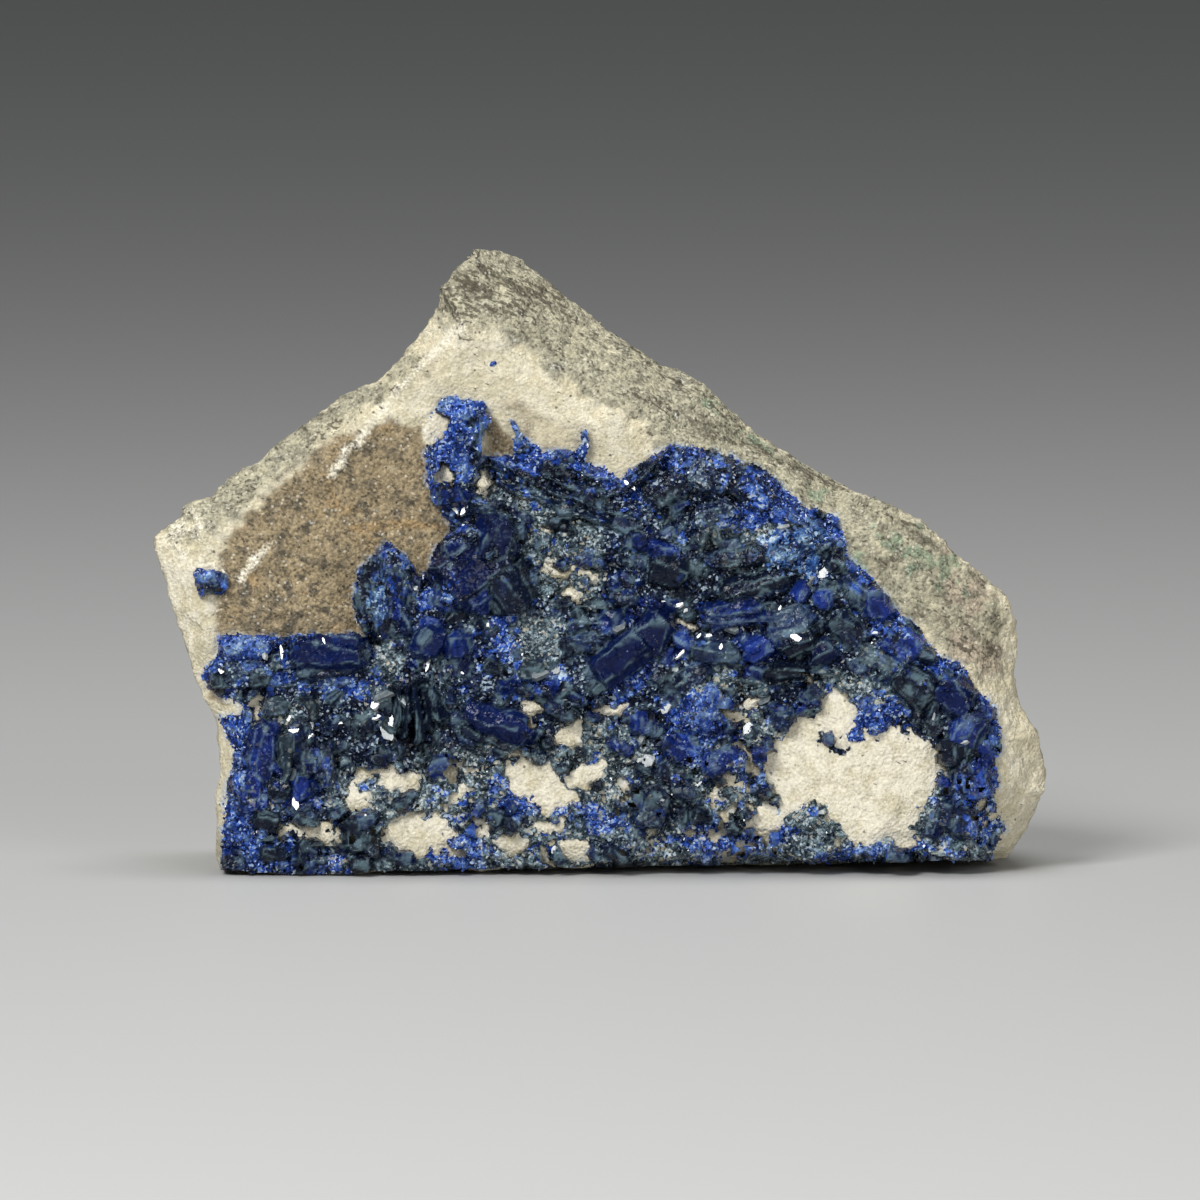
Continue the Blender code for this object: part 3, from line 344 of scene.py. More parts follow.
LEDGES = [
    Ledge(DARK, ((-11.3, 42.2), (-7.8, 40.1), (-5.0, 38.5), (-1.7, 37.3), (3.4, 35.7)),
          2.4, 2.2, 0.5),
    Ledge(DARK, ((-11.0, 39.8), (-7.0, 38.0), (-3.0, 36.4), (3.0, 34.6), (8.0, 33.4)),
          2.3, 1.8, 0.5),
    Ledge(DARK, ((-5.5, 39.9), (-2.5, 38.5), (0.5, 38.1), (2.6, 38.7), (4.5, 40.2),
                       (6.1, 41.7)), 2.6, 1.6, 0.6),
    Ledge(DARK, ((-14.4, 38.2), (-11.0, 36.9), (-8.0, 35.6)), 2.0, 1.2, 0.5),
    Ledge(INDIGO, ((-4.0, 41.2), (-1.0, 40.0), (2.0, 39.8), (4.2, 41.2)), 2.1, 1.3, 0.8),
    Ledge(GREY, ((-2.6, 27.0), (0.0, 26.9), (1.9, 26.4)), 1.9, 1.2, 0.4),
    Ledge(GREY, ((-2.4, 25.6), (0.0, 25.5), (2.4, 25.2)), 2.1, 1.0, 0.5),
    Ledge(GREY, ((-1.0, 18.9), (1.4, 19.6), (3.8, 21.0), (6.0, 21.8)), 1.6, 0.6, 0.7),
    Ledge(GREY, ((10.0, 31.0), (15.1, 31.9), (20.2, 33.0)), 2.3, 1.0, 0.6),
    Ledge(DARK, ((11.0, 27.8), (16.1, 29.2), (20.0, 30.4)), 2.5, 1.3, 0.6),
    Ledge(GREY, ((10.0, 25.2), (14.0, 25.0), (17.6, 26.4)), 2.2, 0.9, 0.6),
    Ledge(GREY, ((12.0, 19.8), (18.0, 19.4), (24.0, 20.6)), 1.8, 1.0, 0.6),
    Ledge(INDIGO, ((7.0, 24.8), (9.0, 22.8), (11.4, 21.0)), 2.0, 1.0, 0.8),
    Ledge(DARK, ((-24.0, 19.6), (-28.0, 19.0), (-33.0, 19.2), (-37.6, 19.0)), 1.7, 0.6, 1.1),
    Ledge(DARK, ((-19.0, 22.4), (-17.0, 20.2), (-14.6, 18.6)), 1.7, 1.0, 0.8),
    Ledge(DARK, ((3.0, 8.2), (3.6, 5.4), (3.4, 2.4)), 1.5, 1.6, 1.2),
]

# Direction in which the small crystals lie near a place: x, z, turn in degrees
GRAIN = [
    (-13.8, 44.0, 70), (-6.0, 41.0, -32), (0.0, 37.6, -10), (6.0, 40.6, 44), (13.0, 39.0, -4),
    (19.6, 36.0, -44), (19.0, 32.8, 34), (16.0, 28.4, 14), (24.0, 27.6, -50), (31.0, 21.6, -46),
    (37.0, 14.0, 88), (37.4, 6.0, 84), (-21.6, 28.4, 98), (-12.4, 31.8, 24), (-3.0, 30.0, 4),
    (3.6, 23.6, 44), (12.0, 21.0, -4), (-28.0, 22.0, 0), (-18.4, 16.6, 90), (-10.8, 15.4, -22),
    (-32.0, 12.0, 88), (-24.0, 17.0, 20), (-30.0, 2.4, 4), (-14.0, 9.6, 0), (0.0, 12.0, 12),
    (9.6, 16.0, 60), (9.0, 9.0, -30), (14.0, 4.0, 0), (28.0, 2.0, 0), (-6.0, 6.0, -20),
]


@dataclass(frozen=True)
class Flake:
    """One cleavage flake, painted pale as a highlight: place, size and turn in millimetres and
    degrees, and its brightness.
    """

    x: float
    z: float
    length: float
    width: float
    turn: float
    bright: float


# The last number of each flake is its brightness: how closely it faces the key light and how pale it
# is painted as a highlight.
FLAKES = [
    Flake(-14.5, 36.9, 1.5, 0.6, 110, 1.0), Flake(-13.6, 36.7, 1.3, 0.5, 62, 1.0),
    Flake(2.7, 39.4, 0.9, 0.35, 130, 0.9), Flake(3.3, 39.0, 0.8, 0.3, 130, 0.8),
    Flake(7.9, 27.2, 1.0, 0.5, 20, 1.0), Flake(8.6, 26.6, 0.6, 0.4, 60, 0.9),
    Flake(1.9, 25.0, 1.7, 1.2, 60, 0.35), Flake(18.4, 35.1, 1.6, 0.5, 5, 0.6),
    Flake(22.6, 30.6, 2.6, 1.0, 38, 0.55), Flake(21.0, 29.6, 1.4, 0.7, 60, 0.4),
    Flake(19.6, 23.9, 1.3, 0.7, -28, 0.7), Flake(18.0, 26.8, 0.7, 0.3, 80, 0.8),
    Flake(27.4, 24.4, 1.2, 0.3, -10, 1.0), Flake(28.6, 25.2, 1.6, 0.6, 20, 0.3),
    Flake(8.4, 22.6, 2.4, 0.25, 48, 0.9), Flake(9.8, 24.0, 1.0, 0.3, 48, 1.0),
    Flake(10.9, 24.1, 0.8, 0.4, -4, 0.9), Flake(12.1, 22.9, 0.9, 0.4, 86, 0.9),
    Flake(7.4, 20.6, 1.0, 0.7, 20, 0.6), Flake(6.6, 16.9, 1.5, 1.0, 60, 0.7),
    Flake(4.2, 14.0, 1.9, 0.8, 84, 0.45), Flake(4.6, 11.6, 1.9, 1.7, 10, 0.45),
    Flake(-21.6, 18.1, 2.3, 0.9, 14, 0.35), Flake(-22.5, 17.2, 1.1, 0.8, 60, 0.9),
    Flake(-22.5, 15.9, 1.3, 0.5, 8, 1.0), Flake(-21.4, 14.4, 2.3, 1.2, -50, 0.4),
    Flake(-20.8, 15.5, 1.3, 0.9, 100, 0.45), Flake(-19.7, 18.0, 2.6, 1.2, 95, 0.15),
    Flake(13.1, 24.9, 1.7, 1.1, -20, 0.35), Flake(16.4, 17.8, 1.7, 1.2, 30, 0.4),
    Flake(14.8, 14.8, 1.5, 0.9, 60, 0.45), Flake(-30.5, 10.6, 2.4, 1.2, 80, 0.1),
    Flake(-37.8, 20.6, 0.9, 0.7, 10, 1.0), Flake(-33.6, 22.3, 1.3, 0.5, 110, 0.7),
    Flake(-31.8, 22.4, 1.7, 0.4, 104, 0.9), Flake(-27.6, 23.6, 0.8, 0.25, 110, 1.0),
    Flake(-31.1, 15.8, 0.7, 0.5, 70, 1.0), Flake(-30.6, 14.6, 1.2, 0.6, 10, 0.6),
    Flake(-28.9, 15.4, 2.4, 0.5, 96, 0.4), Flake(-30.4, 7.4, 1.8, 0.8, 90, 0.55),
    Flake(-29.0, 14.0, 0.9, 0.3, 40, 0.9), Flake(-4.4, 20.6, 1.2, 0.8, 40, 0.35),
    Flake(-6.1, 20.3, 2.0, 1.3, 10, 0.25), Flake(-11.2, 25.2, 0.5, 0.3, 90, 1.0),
    Flake(-18.4, 28.9, 0.5, 0.5, 30, 0.9), Flake(-17.2, 21.2, 1.8, 0.4, 74, 0.7),
    Flake(9.9, 9.2, 0.8, 0.5, 30, 0.5), Flake(-4.6, 2.6, 0.9, 0.5, 80, 0.9),
    Flake(33.4, 16.0, 1.0, 0.3, 80, 0.6), Flake(36.4, 13.4, 1.0, 0.25, 10, 0.7),
]


def hashed(cells: np.ndarray, seed: int, channel: int) -> np.ndarray:
    """Repeatable random numbers for lattice cells.

    Args:
        cells: Whole-number cell coordinates, one row for each axis.
        seed: The pattern's own number.
        channel: Which of the cell's numbers is wanted.

    Returns:
        One number from 0 to 1 for each cell.
    """
    mixed = np.full(cells.shape[1:], seed * 668265263 + channel * 374761393, np.uint64)
    for axis, prime in zip(cells, (73856093, 19349663, 83492791)):
        mixed ^= axis.astype(np.int64).astype(np.uint64) * np.uint64(prime)
        mixed ^= mixed >> np.uint64(15)
        mixed = (mixed * np.uint64(2246822519)) & np.uint64(0xFFFFFFFF)
    mixed ^= mixed >> np.uint64(13)
    mixed = (mixed * np.uint64(3266489917)) & np.uint64(0xFFFFFFFF)
    mixed ^= mixed >> np.uint64(16)
    return mixed.astype(np.float64) / 0xFFFFFFFF


def ripple(points: np.ndarray, size: float, seed: int) -> np.ndarray:
    """Smooth noise with bumps about as wide as size.

    Args:
        points: Coordinates, one row for each axis, in the unit of size.
        size: Width of a bump.
        seed: The pattern's own number.

    Returns:
        Values from about -1 to 1.
    """
    scaled = points / size + 31.7 * seed
    cells = np.floor(scaled).astype(np.int64)
    inner = scaled - cells
    eased = inner * inner * inner * (inner * (inner * 6.0 - 15.0) + 10.0)
    total = np.zeros(points.shape[1:])
    for corner in itertools.product((0, 1), repeat=len(points)):
        offset = np.array(corner).reshape(-1, *[1] * (points.ndim - 1))
        value = 2.0 * hashed(cells + offset, seed, 0) - 1.0
        weight = np.prod(np.where(offset == 1, eased, 1.0 - eased), axis=0)
        total += weight * value
    return total


def cloudy(points: np.ndarray, size: float, seed: int, layers: int = 3) -> np.ndarray:
    """Noise with finer and finer bumps added.

    Args:
        points: Coordinates, one row for each axis.
        size: Width of the largest bumps.
        seed: The pattern's own number.
        layers: Number of sizes, each half the one before.

    Returns:
        Values from about -1 to 1.
    """
    total = np.zeros(points.shape[1:])
    for layer in range(layers):
        total += 0.5**layer * ripple(points, size * 0.5**layer, seed + 7 * layer)
    return total / 1.4


def facets(points: np.ndarray, size: float, steep: float, seed: int) -> tuple:
    """A field of flat, tilted faces that meet at sharp edges, like a crust of crystals.

    Args:
        points: Two rows of map coordinates in millimetres.
        size: Width of a face.
        steep: How far a face tilts, as a slope.
        seed: The pattern's own number.

    Returns:
        The height in millimetres and a random number of its face, for each point.
    """
    scaled = points / size
    home = np.floor(scaled).astype(np.int64)
    nearest = np.full(points.shape[1:], ENDLESS)
    height = np.zeros(points.shape[1:])
    number = np.zeros(points.shape[1:])
    for step in itertools.product((-1, 0, 1), repeat=2):
        cell = home + np.array(step).reshape(-1, *[1] * (points.ndim - 1))
        away = [scaled[i] - cell[i] - hashed(cell, seed, i) for i in (0, 1)]
        distance = away[0] ** 2 + away[1] ** 2
        slopes = [2.0 * hashed(cell, seed, 2 + i) - 1.0 for i in (0, 1)]
        lift = 0.5 * (hashed(cell, seed, 4) - 0.5)
        here = steep * size * (away[0] * slopes[0] + away[1] * slopes[1] + lift)
        closer = distance < nearest
        nearest = np.where(closer, distance, nearest)
        height = np.where(closer, here, height)
        number = np.where(closer, hashed(cell, seed, 5), number)
    return height, number


def smooth(low: float, high: float, value: np.ndarray) -> np.ndarray:
    """Eased step from 0 at low to 1 at high."""
    share = np.clip((value - low) / (high - low), 0.0, 1.0)
    return share * share * (3.0 - 2.0 * share)


def run_sides(points: np.ndarray, run: tuple) -> tuple[np.ndarray, np.ndarray]:
    """Distance from map points to a run, and whether they lie on its left, looking along it."""
    best = np.full(points.shape[1:], ENDLESS)
    left = np.zeros(points.shape[1:], bool)
    for (ax, az), (bx, bz) in itertools.pairwise(run):
        along = np.array([bx - ax, bz - az])
        offset = np.stack([points[0] - ax, points[1] - az])
        share = (offset[0] * along[0] + offset[1] * along[1]) / (along @ along)
        share = np.clip(share, 0.0, 1.0)
        away = np.hypot(offset[0] - share * along[0], offset[1] - share * along[1])
        side = along[0] * offset[1] - along[1] * offset[0] > 0.0
        left = np.where(away < best, side, left)
        best = np.minimum(best, away)
    return best, left


def run_distance(points: np.ndarray, run: list) -> np.ndarray:
    """Distance from map points to an open run of straight lines, in millimetres."""
    return run_sides(points, run)[0]


def outline_depth(points: np.ndarray, outline: list) -> np.ndarray:
    """Distance to an outline in millimetres, positive inside it and negative outside."""
    crossings = np.zeros(points.shape[1:], int)
    x, z = points
    for (ax, az), (bx, bz) in zip(outline, outline[1:] + outline[:1]):
        if az == bz:
            continue
        spans = (az > z) != (bz > z)
        crossings += spans & (x < ax + (bx - ax) * (z - az) / (bz - az))
    away = run_distance(points, outline + outline[:1])
    return np.where(crossings % 2 == 1, away, -away)


def oval_depth(points: np.ndarray, oval: tuple) -> np.ndarray:
    """Roughly the distance into an oval in millimetres, negative outside it.

    Args:
        points: Two rows of map coordinates.
        oval: Middle x and z, half width, half height and turn in degrees.

    Returns:
        The depth for each point.
    """
    middle_x, middle_z, half_width, half_height, turn = oval
    turned = math.radians(turn)
    x = points[0] - middle_x
    z = points[1] - middle_z
    along = (x * math.cos(turned) + z * math.sin(turned)) / half_width
    across = (z * math.cos(turned) - x * math.sin(turned)) / half_height
    return (1.0 - np.hypot(along, across)) * min(half_width, half_height)


@dataclass
class Front:
    """The stone's front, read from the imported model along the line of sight.

    Attributes:
        stone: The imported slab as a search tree, in metres.
    """

    stone: BVHTree

    def world(self, x: np.ndarray, y: np.ndarray, z: np.ndarray) -> np.ndarray:
        """Points in space, in metres, for map points at depth y, as rows of x, y and z."""
        return np.stack([x, y, z - (y - LIP_Y) * SIGHT_SLOPE], axis=-1) * MM

    def mapped(self, corners: np.ndarray) -> np.ndarray:
        """Map coordinates in millimetres of points in space, as two rows."""
        x, y, z = corners.T / MM
        return np.stack([x, z + (y - LIP_Y) * SIGHT_SLOPE])

    def stone_y(self, x: np.ndarray, z: np.ndarray) -> np.ndarray:
        """Depth of the stone's front at map points.

        Args:
            x: Map x in millimetres.
            z: Map z in millimetres.

        Returns:
            World y in millimetres, not a number where the sight line misses the stone.
        """
        ray = Vector((0.0, 1.0, -SIGHT_SLOPE)).normalized()
        start_y = -60.0
        starts = self.world(x, np.full(x.shape, start_y), z)
        depths = np.full(x.shape, np.nan)
        for i, start in enumerate(starts):
            hit = self.stone.ray_cast(Vector(start), ray)[0]
            if hit is not None:
                depths[i] = hit.y / MM
        return depths


def merged_copy(node: bpy.types.Object) -> bpy.types.Mesh:
    """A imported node's mesh with its loose triangles joined."""
    shape = bmesh.new()
    shape.from_mesh(node.data)
    bmesh.ops.remove_doubles(shape, verts=shape.verts, dist=1e-7)
    mesh = bpy.data.meshes.new(f"{node.name}_merged")
    shape.to_mesh(mesh)
    shape.free()
    return mesh


def placed(name: str, mesh: bpy.types.Mesh) -> bpy.types.Object:
    """A new object in the scene that shows mesh."""
    made = bpy.data.objects.new(name, mesh)
    bpy.context.scene.collection.objects.link(made)
    return made


def mesh_of(name: str, corners: np.ndarray, faces: list) -> bpy.types.Mesh:
    """A mesh from points in metres and faces of point numbers."""
    mesh = bpy.data.meshes.new(name)
    mesh.from_pydata(corners.tolist(), [], faces)
    mesh.update()
    return mesh


def note_values(mesh: bpy.types.Mesh, name: str, values: np.ndarray) -> None:
    """Stores one number for each point of a mesh, for its material to read."""
    layer = mesh.attributes.new(name, "FLOAT", "POINT")
    layer.data.foreach_set("value", np.ascontiguousarray(values, np.float32))


def points_of(mesh: bpy.types.Mesh) -> np.ndarray:
    """A mesh's points in metres, one row each."""
    found = np.empty(len(mesh.vertices) * 3, np.float32)
    mesh.vertices.foreach_get("co", found)
    return found.reshape(-1, 3).astype(np.float64)


def normals_of(mesh: bpy.types.Mesh) -> np.ndarray:
    """A mesh's point normals, one row each."""
    found = np.empty(len(mesh.vertices) * 3, np.float32)
    mesh.vertex_normals.foreach_get("vector", found)
    return found.reshape(-1, 3).astype(np.float64)


class Web:
    """One node tree, with short calls to add and join its nodes."""

    def __init__(self, tree: bpy.types.NodeTree) -> None:
        """Starts on an existing tree."""
        self.tree = tree

    def add(self, kind: str, **settings: object) -> bpy.types.Node:
        """Adds a node and sets its properties."""
        node = self.tree.nodes.new(kind)
        for name, value in settings.items():
            setattr(node, name, value)
        return node

    def feed(self, socket: bpy.types.NodeSocket, value: object) -> None:
        """Links value to a socket if it is an output, or else sets it there."""
        if isinstance(value, bpy.types.NodeSocket):
            self.tree.links.new(value, socket)
        elif isinstance(value, tuple) and socket.type == "RGBA" and len(value) == 3:
            socket.default_value = (*value, 1.0)
        else:
            socket.default_value = value

    def math(self, operation: str, *values: object, clamp: bool = False) -> bpy.types.NodeSocket:
        """One step of arithmetic."""
        node = self.add("ShaderNodeMath", operation=operation, use_clamp=clamp)
        for socket, value in zip(node.inputs, values):
            self.feed(socket, value)
        return node.outputs[0]

    def times(self, first: object, second: object) -> bpy.types.NodeSocket:
        """The product of two numbers."""
        return self.math("MULTIPLY", first, second)

    def times_plus(self, first: object, second: object, more: object) -> bpy.types.NodeSocket:
        """The product of two numbers with a third added."""
        return self.math("MULTIPLY_ADD", first, second, more)

    def mix(self, share: object, first: object, second: object) -> bpy.types.NodeSocket:
        """A colour between two colours."""
        node = self.add("ShaderNodeMix", data_type="RGBA")
        self.feed(node.inputs[0], share)
        self.feed(node.inputs[6], first)
        self.feed(node.inputs[7], second)
        return node.outputs[2]

    def scaled(self, colour: object, amount: object) -> bpy.types.NodeSocket:
        """A colour made lighter or darker."""
        node = self.add("ShaderNodeVectorMath", operation="SCALE")
        self.feed(node.inputs[0], colour)
        self.feed(node.inputs["Scale"], amount)
        return node.outputs[0]

    def ramp(self, value: object, stops: tuple) -> bpy.types.NodeSocket:
        """A colour that runs through the given stops, each a position and a colour."""
        node = self.add("ShaderNodeValToRGB")
        marks = node.color_ramp.elements
        while len(marks) < len(stops):
            marks.new(0.5)
        for mark, (position, colour) in zip(marks, stops):
            mark.position = position
            mark.color = (*colour, 1.0)
        self.feed(node.inputs[0], value)
        return node.outputs[0]

    def step(self, value: object, low: float, high: float) -> bpy.types.NodeSocket:
        """Eased step from 0 at low to 1 at high."""
        node = self.add("ShaderNodeMapRange", interpolation_type="SMOOTHSTEP")
        self.feed(node.inputs[0], value)
        node.inputs[1].default_value = low
        node.inputs[2].default_value = high
        return node.outputs[0]

    def noise(self, place: object, size: float, detail: float = 2.0) -> bpy.types.NodeSocket:
        """Smooth noise from 0 to 1 with bumps about as wide as size, in millimetres."""
        node = self.add("ShaderNodeTexNoise")
        self.feed(node.inputs["Vector"], place)
        node.inputs["Scale"].default_value = 1.0 / (size * MM)
        node.inputs["Detail"].default_value = detail
        return node.outputs[0]

    def cells(self, place: object, size: float) -> bpy.types.Node:
        """Cells about as wide as size, in millimetres."""
        node = self.add("ShaderNodeTexVoronoi")
        self.feed(node.inputs["Vector"], place)
        node.inputs["Scale"].default_value = 1.0 / (size * MM)
        return node

    def value_of(self, name: str) -> bpy.types.NodeSocket:
        """A number that the mesh stores at its points."""
        return self.add("ShaderNodeAttribute", attribute_name=name).outputs["Fac"]

    def place(self) -> bpy.types.NodeSocket:
        """Position on the object, in metres."""
        return self.add("ShaderNodeTexCoord").outputs["Object"]


def new_group(name: str, inputs: list, outputs: list) -> tuple[Web, bpy.types.Node, bpy.types.Node]:
    """An empty shader node group.

    Args:
        name: The group's name.
        inputs: Name, socket type and default value of each input.
        outputs: Name and socket type of each output.

    Returns:
        The web to build in, the group's input node and its output node.
    """
    tree = bpy.data.node_groups.new(name, "ShaderNodeTree")
    for title, kind, value in inputs:
        socket = tree.interface.new_socket(title, in_out="INPUT", socket_type=kind)
        if value is not None:
            socket.default_value = value
    for title, kind in outputs:
        tree.interface.new_socket(title, in_out="OUTPUT", socket_type=kind)
    web = Web(tree)
    return web, web.add("NodeGroupInput"), web.add("NodeGroupOutput")


def facet_group() -> bpy.types.NodeTree:
    """Tiny flat crystal faces: each cell leans its own way and has its own number."""
    inputs = [
        ("Place", "NodeSocketVector", None),
        ("Cells per Metre", "NodeSocketFloat", 2000.0),
        ("Lean", "NodeSocketFloat", 0.5),
    ]
    outputs = [("Normal", "NodeSocketVector"), ("Number", "NodeSocketFloat")]
    web, entry, leave = new_group("crystal_facets", inputs, outputs)
    cells = web.add("ShaderNodeTexVoronoi")
    web.feed(cells.inputs["Vector"], entry.outputs["Place"])
    web.feed(cells.inputs["Scale"], entry.outputs["Cells per Metre"])
    centred = web.add("ShaderNodeVectorMath", operation="SUBTRACT")
    web.feed(centred.inputs[0], cells.outputs["Color"])
    centred.inputs[1].default_value = (0.5, 0.5, 0.5)
    leaning = web.add("ShaderNodeVectorMath", operation="SCALE")
    web.feed(leaning.inputs[0], centred.outputs[0])
    web.feed(leaning.inputs["Scale"], entry.outputs["Lean"])
    surface = web.add("ShaderNodeNewGeometry")
    summed = web.add("ShaderNodeVectorMath", operation="ADD")
    web.feed(summed.inputs[0], surface.outputs["Normal"])
    web.feed(summed.inputs[1], leaning.outputs[0])
    unit = web.add("ShaderNodeVectorMath", operation="NORMALIZE")
    web.feed(unit.inputs[0], summed.outputs[0])
    split = web.add("ShaderNodeSeparateColor")
    web.feed(split.inputs[0], cells.outputs["Color"])
    web.feed(leave.inputs["Normal"], unit.outputs[0])
    web.feed(leave.inputs["Number"], split.outputs[0])
    return web.tree


# Colours of each habit, from its darkest grains to its palest
TONES = {
    DARK: (
        (0.0, (0.002, 0.003, 0.006)), (0.45, (0.004, 0.008, 0.022)), (0.66, (0.013, 0.026, 0.08)),
        (0.80, (0.06, 0.09, 0.13)), (1.0, (0.42, 0.50, 0.54)),
    ),
    INDIGO: (
        (0.0, (0.001, 0.003, 0.018)), (0.42, (0.003, 0.010, 0.066)), (0.64, (0.009, 0.026, 0.19)),
        (0.82, (0.06, 0.12, 0.36)), (1.0, (0.40, 0.54, 0.72)),
    ),
    ELECTRIC: (
        (0.0, (0.003, 0.007, 0.028)), (0.34, (0.006, 0.022, 0.13)), (0.58, (0.020, 0.070, 0.38)),
        (0.78, (0.10, 0.21, 0.60)), (1.0, (0.56, 0.69, 0.84)),
    ),
    SKY: (
        (0.0, (0.004, 0.010, 0.03)), (0.36, (0.012, 0.035, 0.13)), (0.56, (0.035, 0.12, 0.38)),
        (0.76, (0.19, 0.34, 0.54)), (1.0, (0.68, 0.77, 0.82)),
    ),
    GREY: (
        (0.0, (0.006, 0.010, 0.014)), (0.40, (0.024, 0.036, 0.050)), (0.60, (0.075, 0.11, 0.135)),
        (0.80, (0.22, 0.28, 0.30)), (1.0, (0.68, 0.70, 0.66)),
    ),
}


@dataclass(frozen=True)
class CrustFinish:
    """The azurite crust, whose habit changes from patch to patch.

    Attributes:
        name: The material's name.
        grain: Width of its smallest faces, in millimetres.
        lean: How far those faces lean.
        line: Colour of the thin pale lines along crystal edges and between crystals, a painted edge
            highlight.
        sand: Colour of the stone's grains among the thinner azurite.
        painted_glint: Colour of the glints painted on a few small faces, a painted highlight.
        calm: How much less the small faces lean on clean crystals.
        bump: Strength of the fine unevenness.
        bump_height: Height of the fine unevenness, in millimetres.
        ior: How strongly the crust bends light.
        specular: How bright its plain reflections are.
    """

    name: str = "azurite_crust_finish"
    grain: float = 0.25
    lean: float = 0.85
    line: tuple[float, float, float] = (0.20, 0.31, 0.35)
    sand: tuple[float, float, float] = (0.58, 0.55, 0.44)
    painted_glint: tuple[float, float, float] = (0.42, 0.52, 0.60)
    calm: float = 0.84
    bump: float = 0.55
    bump_height: float = 0.30
    ior: float = 1.60
    specular: float = 0.13

    def build(self, faceting: bpy.types.NodeTree) -> bpy.types.Material:
        """Builds the material.

        Args:
            faceting: The shared group of tiny crystal faces.

        Returns:
            The material.
        """
        material = bpy.data.materials.new(self.name)
        material.use_nodes = True
        web = Web(material.node_tree)
        shader = web.tree.nodes["Principled BSDF"]
        place = web.place()
        polish = web.value_of("polish")
        recess_shade = web.value_of("recess_shade")
        fine = web.add("ShaderNodeGroup", node_tree=faceting)
        web.feed(fine.inputs["Place"], place)
        fine.inputs["Cells per Metre"].default_value = 1.0 / (self.grain * MM)
        rough_share = web.math("SUBTRACT", 1.0, web.times(polish, self.calm))
        web.feed(fine.inputs["Lean"], web.times(rough_share, self.lean))
        second = web.add("ShaderNodeSeparateColor")
        web.feed(second.inputs[0], web.cells(place, 0.8).outputs["Color"])
        cloud = web.noise(place, 1.4, 3.0)
        swell = web.noise(place, 5.0, 2.0)
        lie = web.add("ShaderNodeCombineXYZ")
        web.feed(lie.inputs[0], web.times(web.value_of("side"), 1.0 / 0.34))
        web.feed(lie.inputs[1], web.times(web.value_of("run"), 1.0 / 2.4))
        web.feed(lie.inputs[2], web.times(web.value_of("tint"), 37.0))
        streaks = web.noise(lie.outputs[0], 1000.0, 3.0)
        grains = web.times(fine.outputs["Number"], 0.62)
        grains = web.times_plus(second.outputs[0], 0.26, grains)
        grains = web.times_plus(cloud, 0.85, web.math("ADD", grains, -0.61))
        grains = web.times_plus(swell, 0.55, grains)
        drawn = web.times(web.math("SUBTRACT", streaks, 0.5), web.value_of("sky"))
        grains = web.times_plus(drawn, 1.8, grains)
        grains = web.times_plus(web.value_of("grey"), 0.09, grains)
        faces = web.times_plus(web.value_of("tint"), 0.42, -0.44)
        faces = web.times_plus(swell, 0.60, faces)
        faces = web.times_plus(streaks, 0.60, faces)
        faces = web.times_plus(fine.outputs["Number"], 0.08, faces)
        level = self.between(web, polish, grains, faces)
        # Painted shade: the colour is darkened where the surface lies deeper than what is around it.
        level = web.math("SUBTRACT", level, web.times(recess_shade, 0.16))

        colour = web.ramp(level, TONES[DARK])
        for habit in (INDIGO, GREY, ELECTRIC, SKY):
            share = web.value_of(habit.value)
            broken = web.times_plus(web.math("SUBTRACT", cloud, 0.5), 1.3, share)
            flecked = web.math("SUBTRACT", second.outputs[1], 0.5)
            broken = web.times_plus(flecked, 0.45, broken)
            colour = web.mix(web.step(broken, 0.36, 0.60), colour, web.ramp(level, TONES[habit]))
        spark = web.step(second.outputs[1], 0.86, 0.93)
        spark = web.times(spark, web.math("SUBTRACT", 1.0, polish))
        colour = web.mix(spark, colour, web.ramp(level, TONES[ELECTRIC]))
        # Painted highlight: thin pale lines along crystal edges and seams, where edges catch the
        # light.
        lines = web.times(web.value_of("outline"), web.step(cloud, 0.40, 0.62))
        colour = web.mix(web.times(lines, 0.45), colour, self.line)
        # Painted highlight: pale glints painted on a few small faces where the azurite is rough.
        painted_glint = web.times(web.step(fine.outputs["Number"], 0.85, 0.90), rough_share)
        painted_glint = web.times(painted_glint, rough_share)
        colour = web.mix(web.times(painted_glint, 0.75), colour, self.painted_glint)
        crumbs = web.add("ShaderNodeSeparateColor")
        web.feed(crumbs.inputs[0], web.cells(place, 0.36).outputs["Color"])
        sandy = web.times(web.value_of("grey"), web.step(crumbs.outputs[0], 0.90, 0.93))
        sandy = web.times(sandy, rough_share)
        colour = web.mix(web.times(sandy, 0.8), colour, self.sand)
        web.feed(shader.inputs["Base Color"], colour)
        gritty = web.times_plus(second.outputs[2], 0.22, 0.16)
        clean = web.times_plus(cloud, 0.30, 0.02)
        web.feed(shader.inputs["Roughness"], self.between(web, polish, gritty, clean))
        uneven = web.add("ShaderNodeBump")
        uneven.inputs["Strength"].default_value = self.bump
        uneven.inputs["Distance"].default_value = self.bump_height * MM
        web.feed(uneven.inputs["Height"], web.noise(place, 1.1, 3.0))
        web.feed(uneven.inputs["Normal"], fine.outputs["Normal"])
        web.feed(shader.inputs["Normal"], uneven.outputs[0])
        shader.inputs["IOR"].default_value = self.ior
        shader.inputs["Specular IOR Level"].default_value = self.specular
        return material

    def between(
        self, web: Web, share: bpy.types.NodeSocket, first: object, second: object
    ) -> bpy.types.NodeSocket:
        """A number between two numbers."""
        node = web.add("ShaderNodeMix", data_type="FLOAT")
        web.feed(node.inputs[0], share)
        web.feed(node.inputs[2], first)
        web.feed(node.inputs[3], second)
        return node.outputs[0]


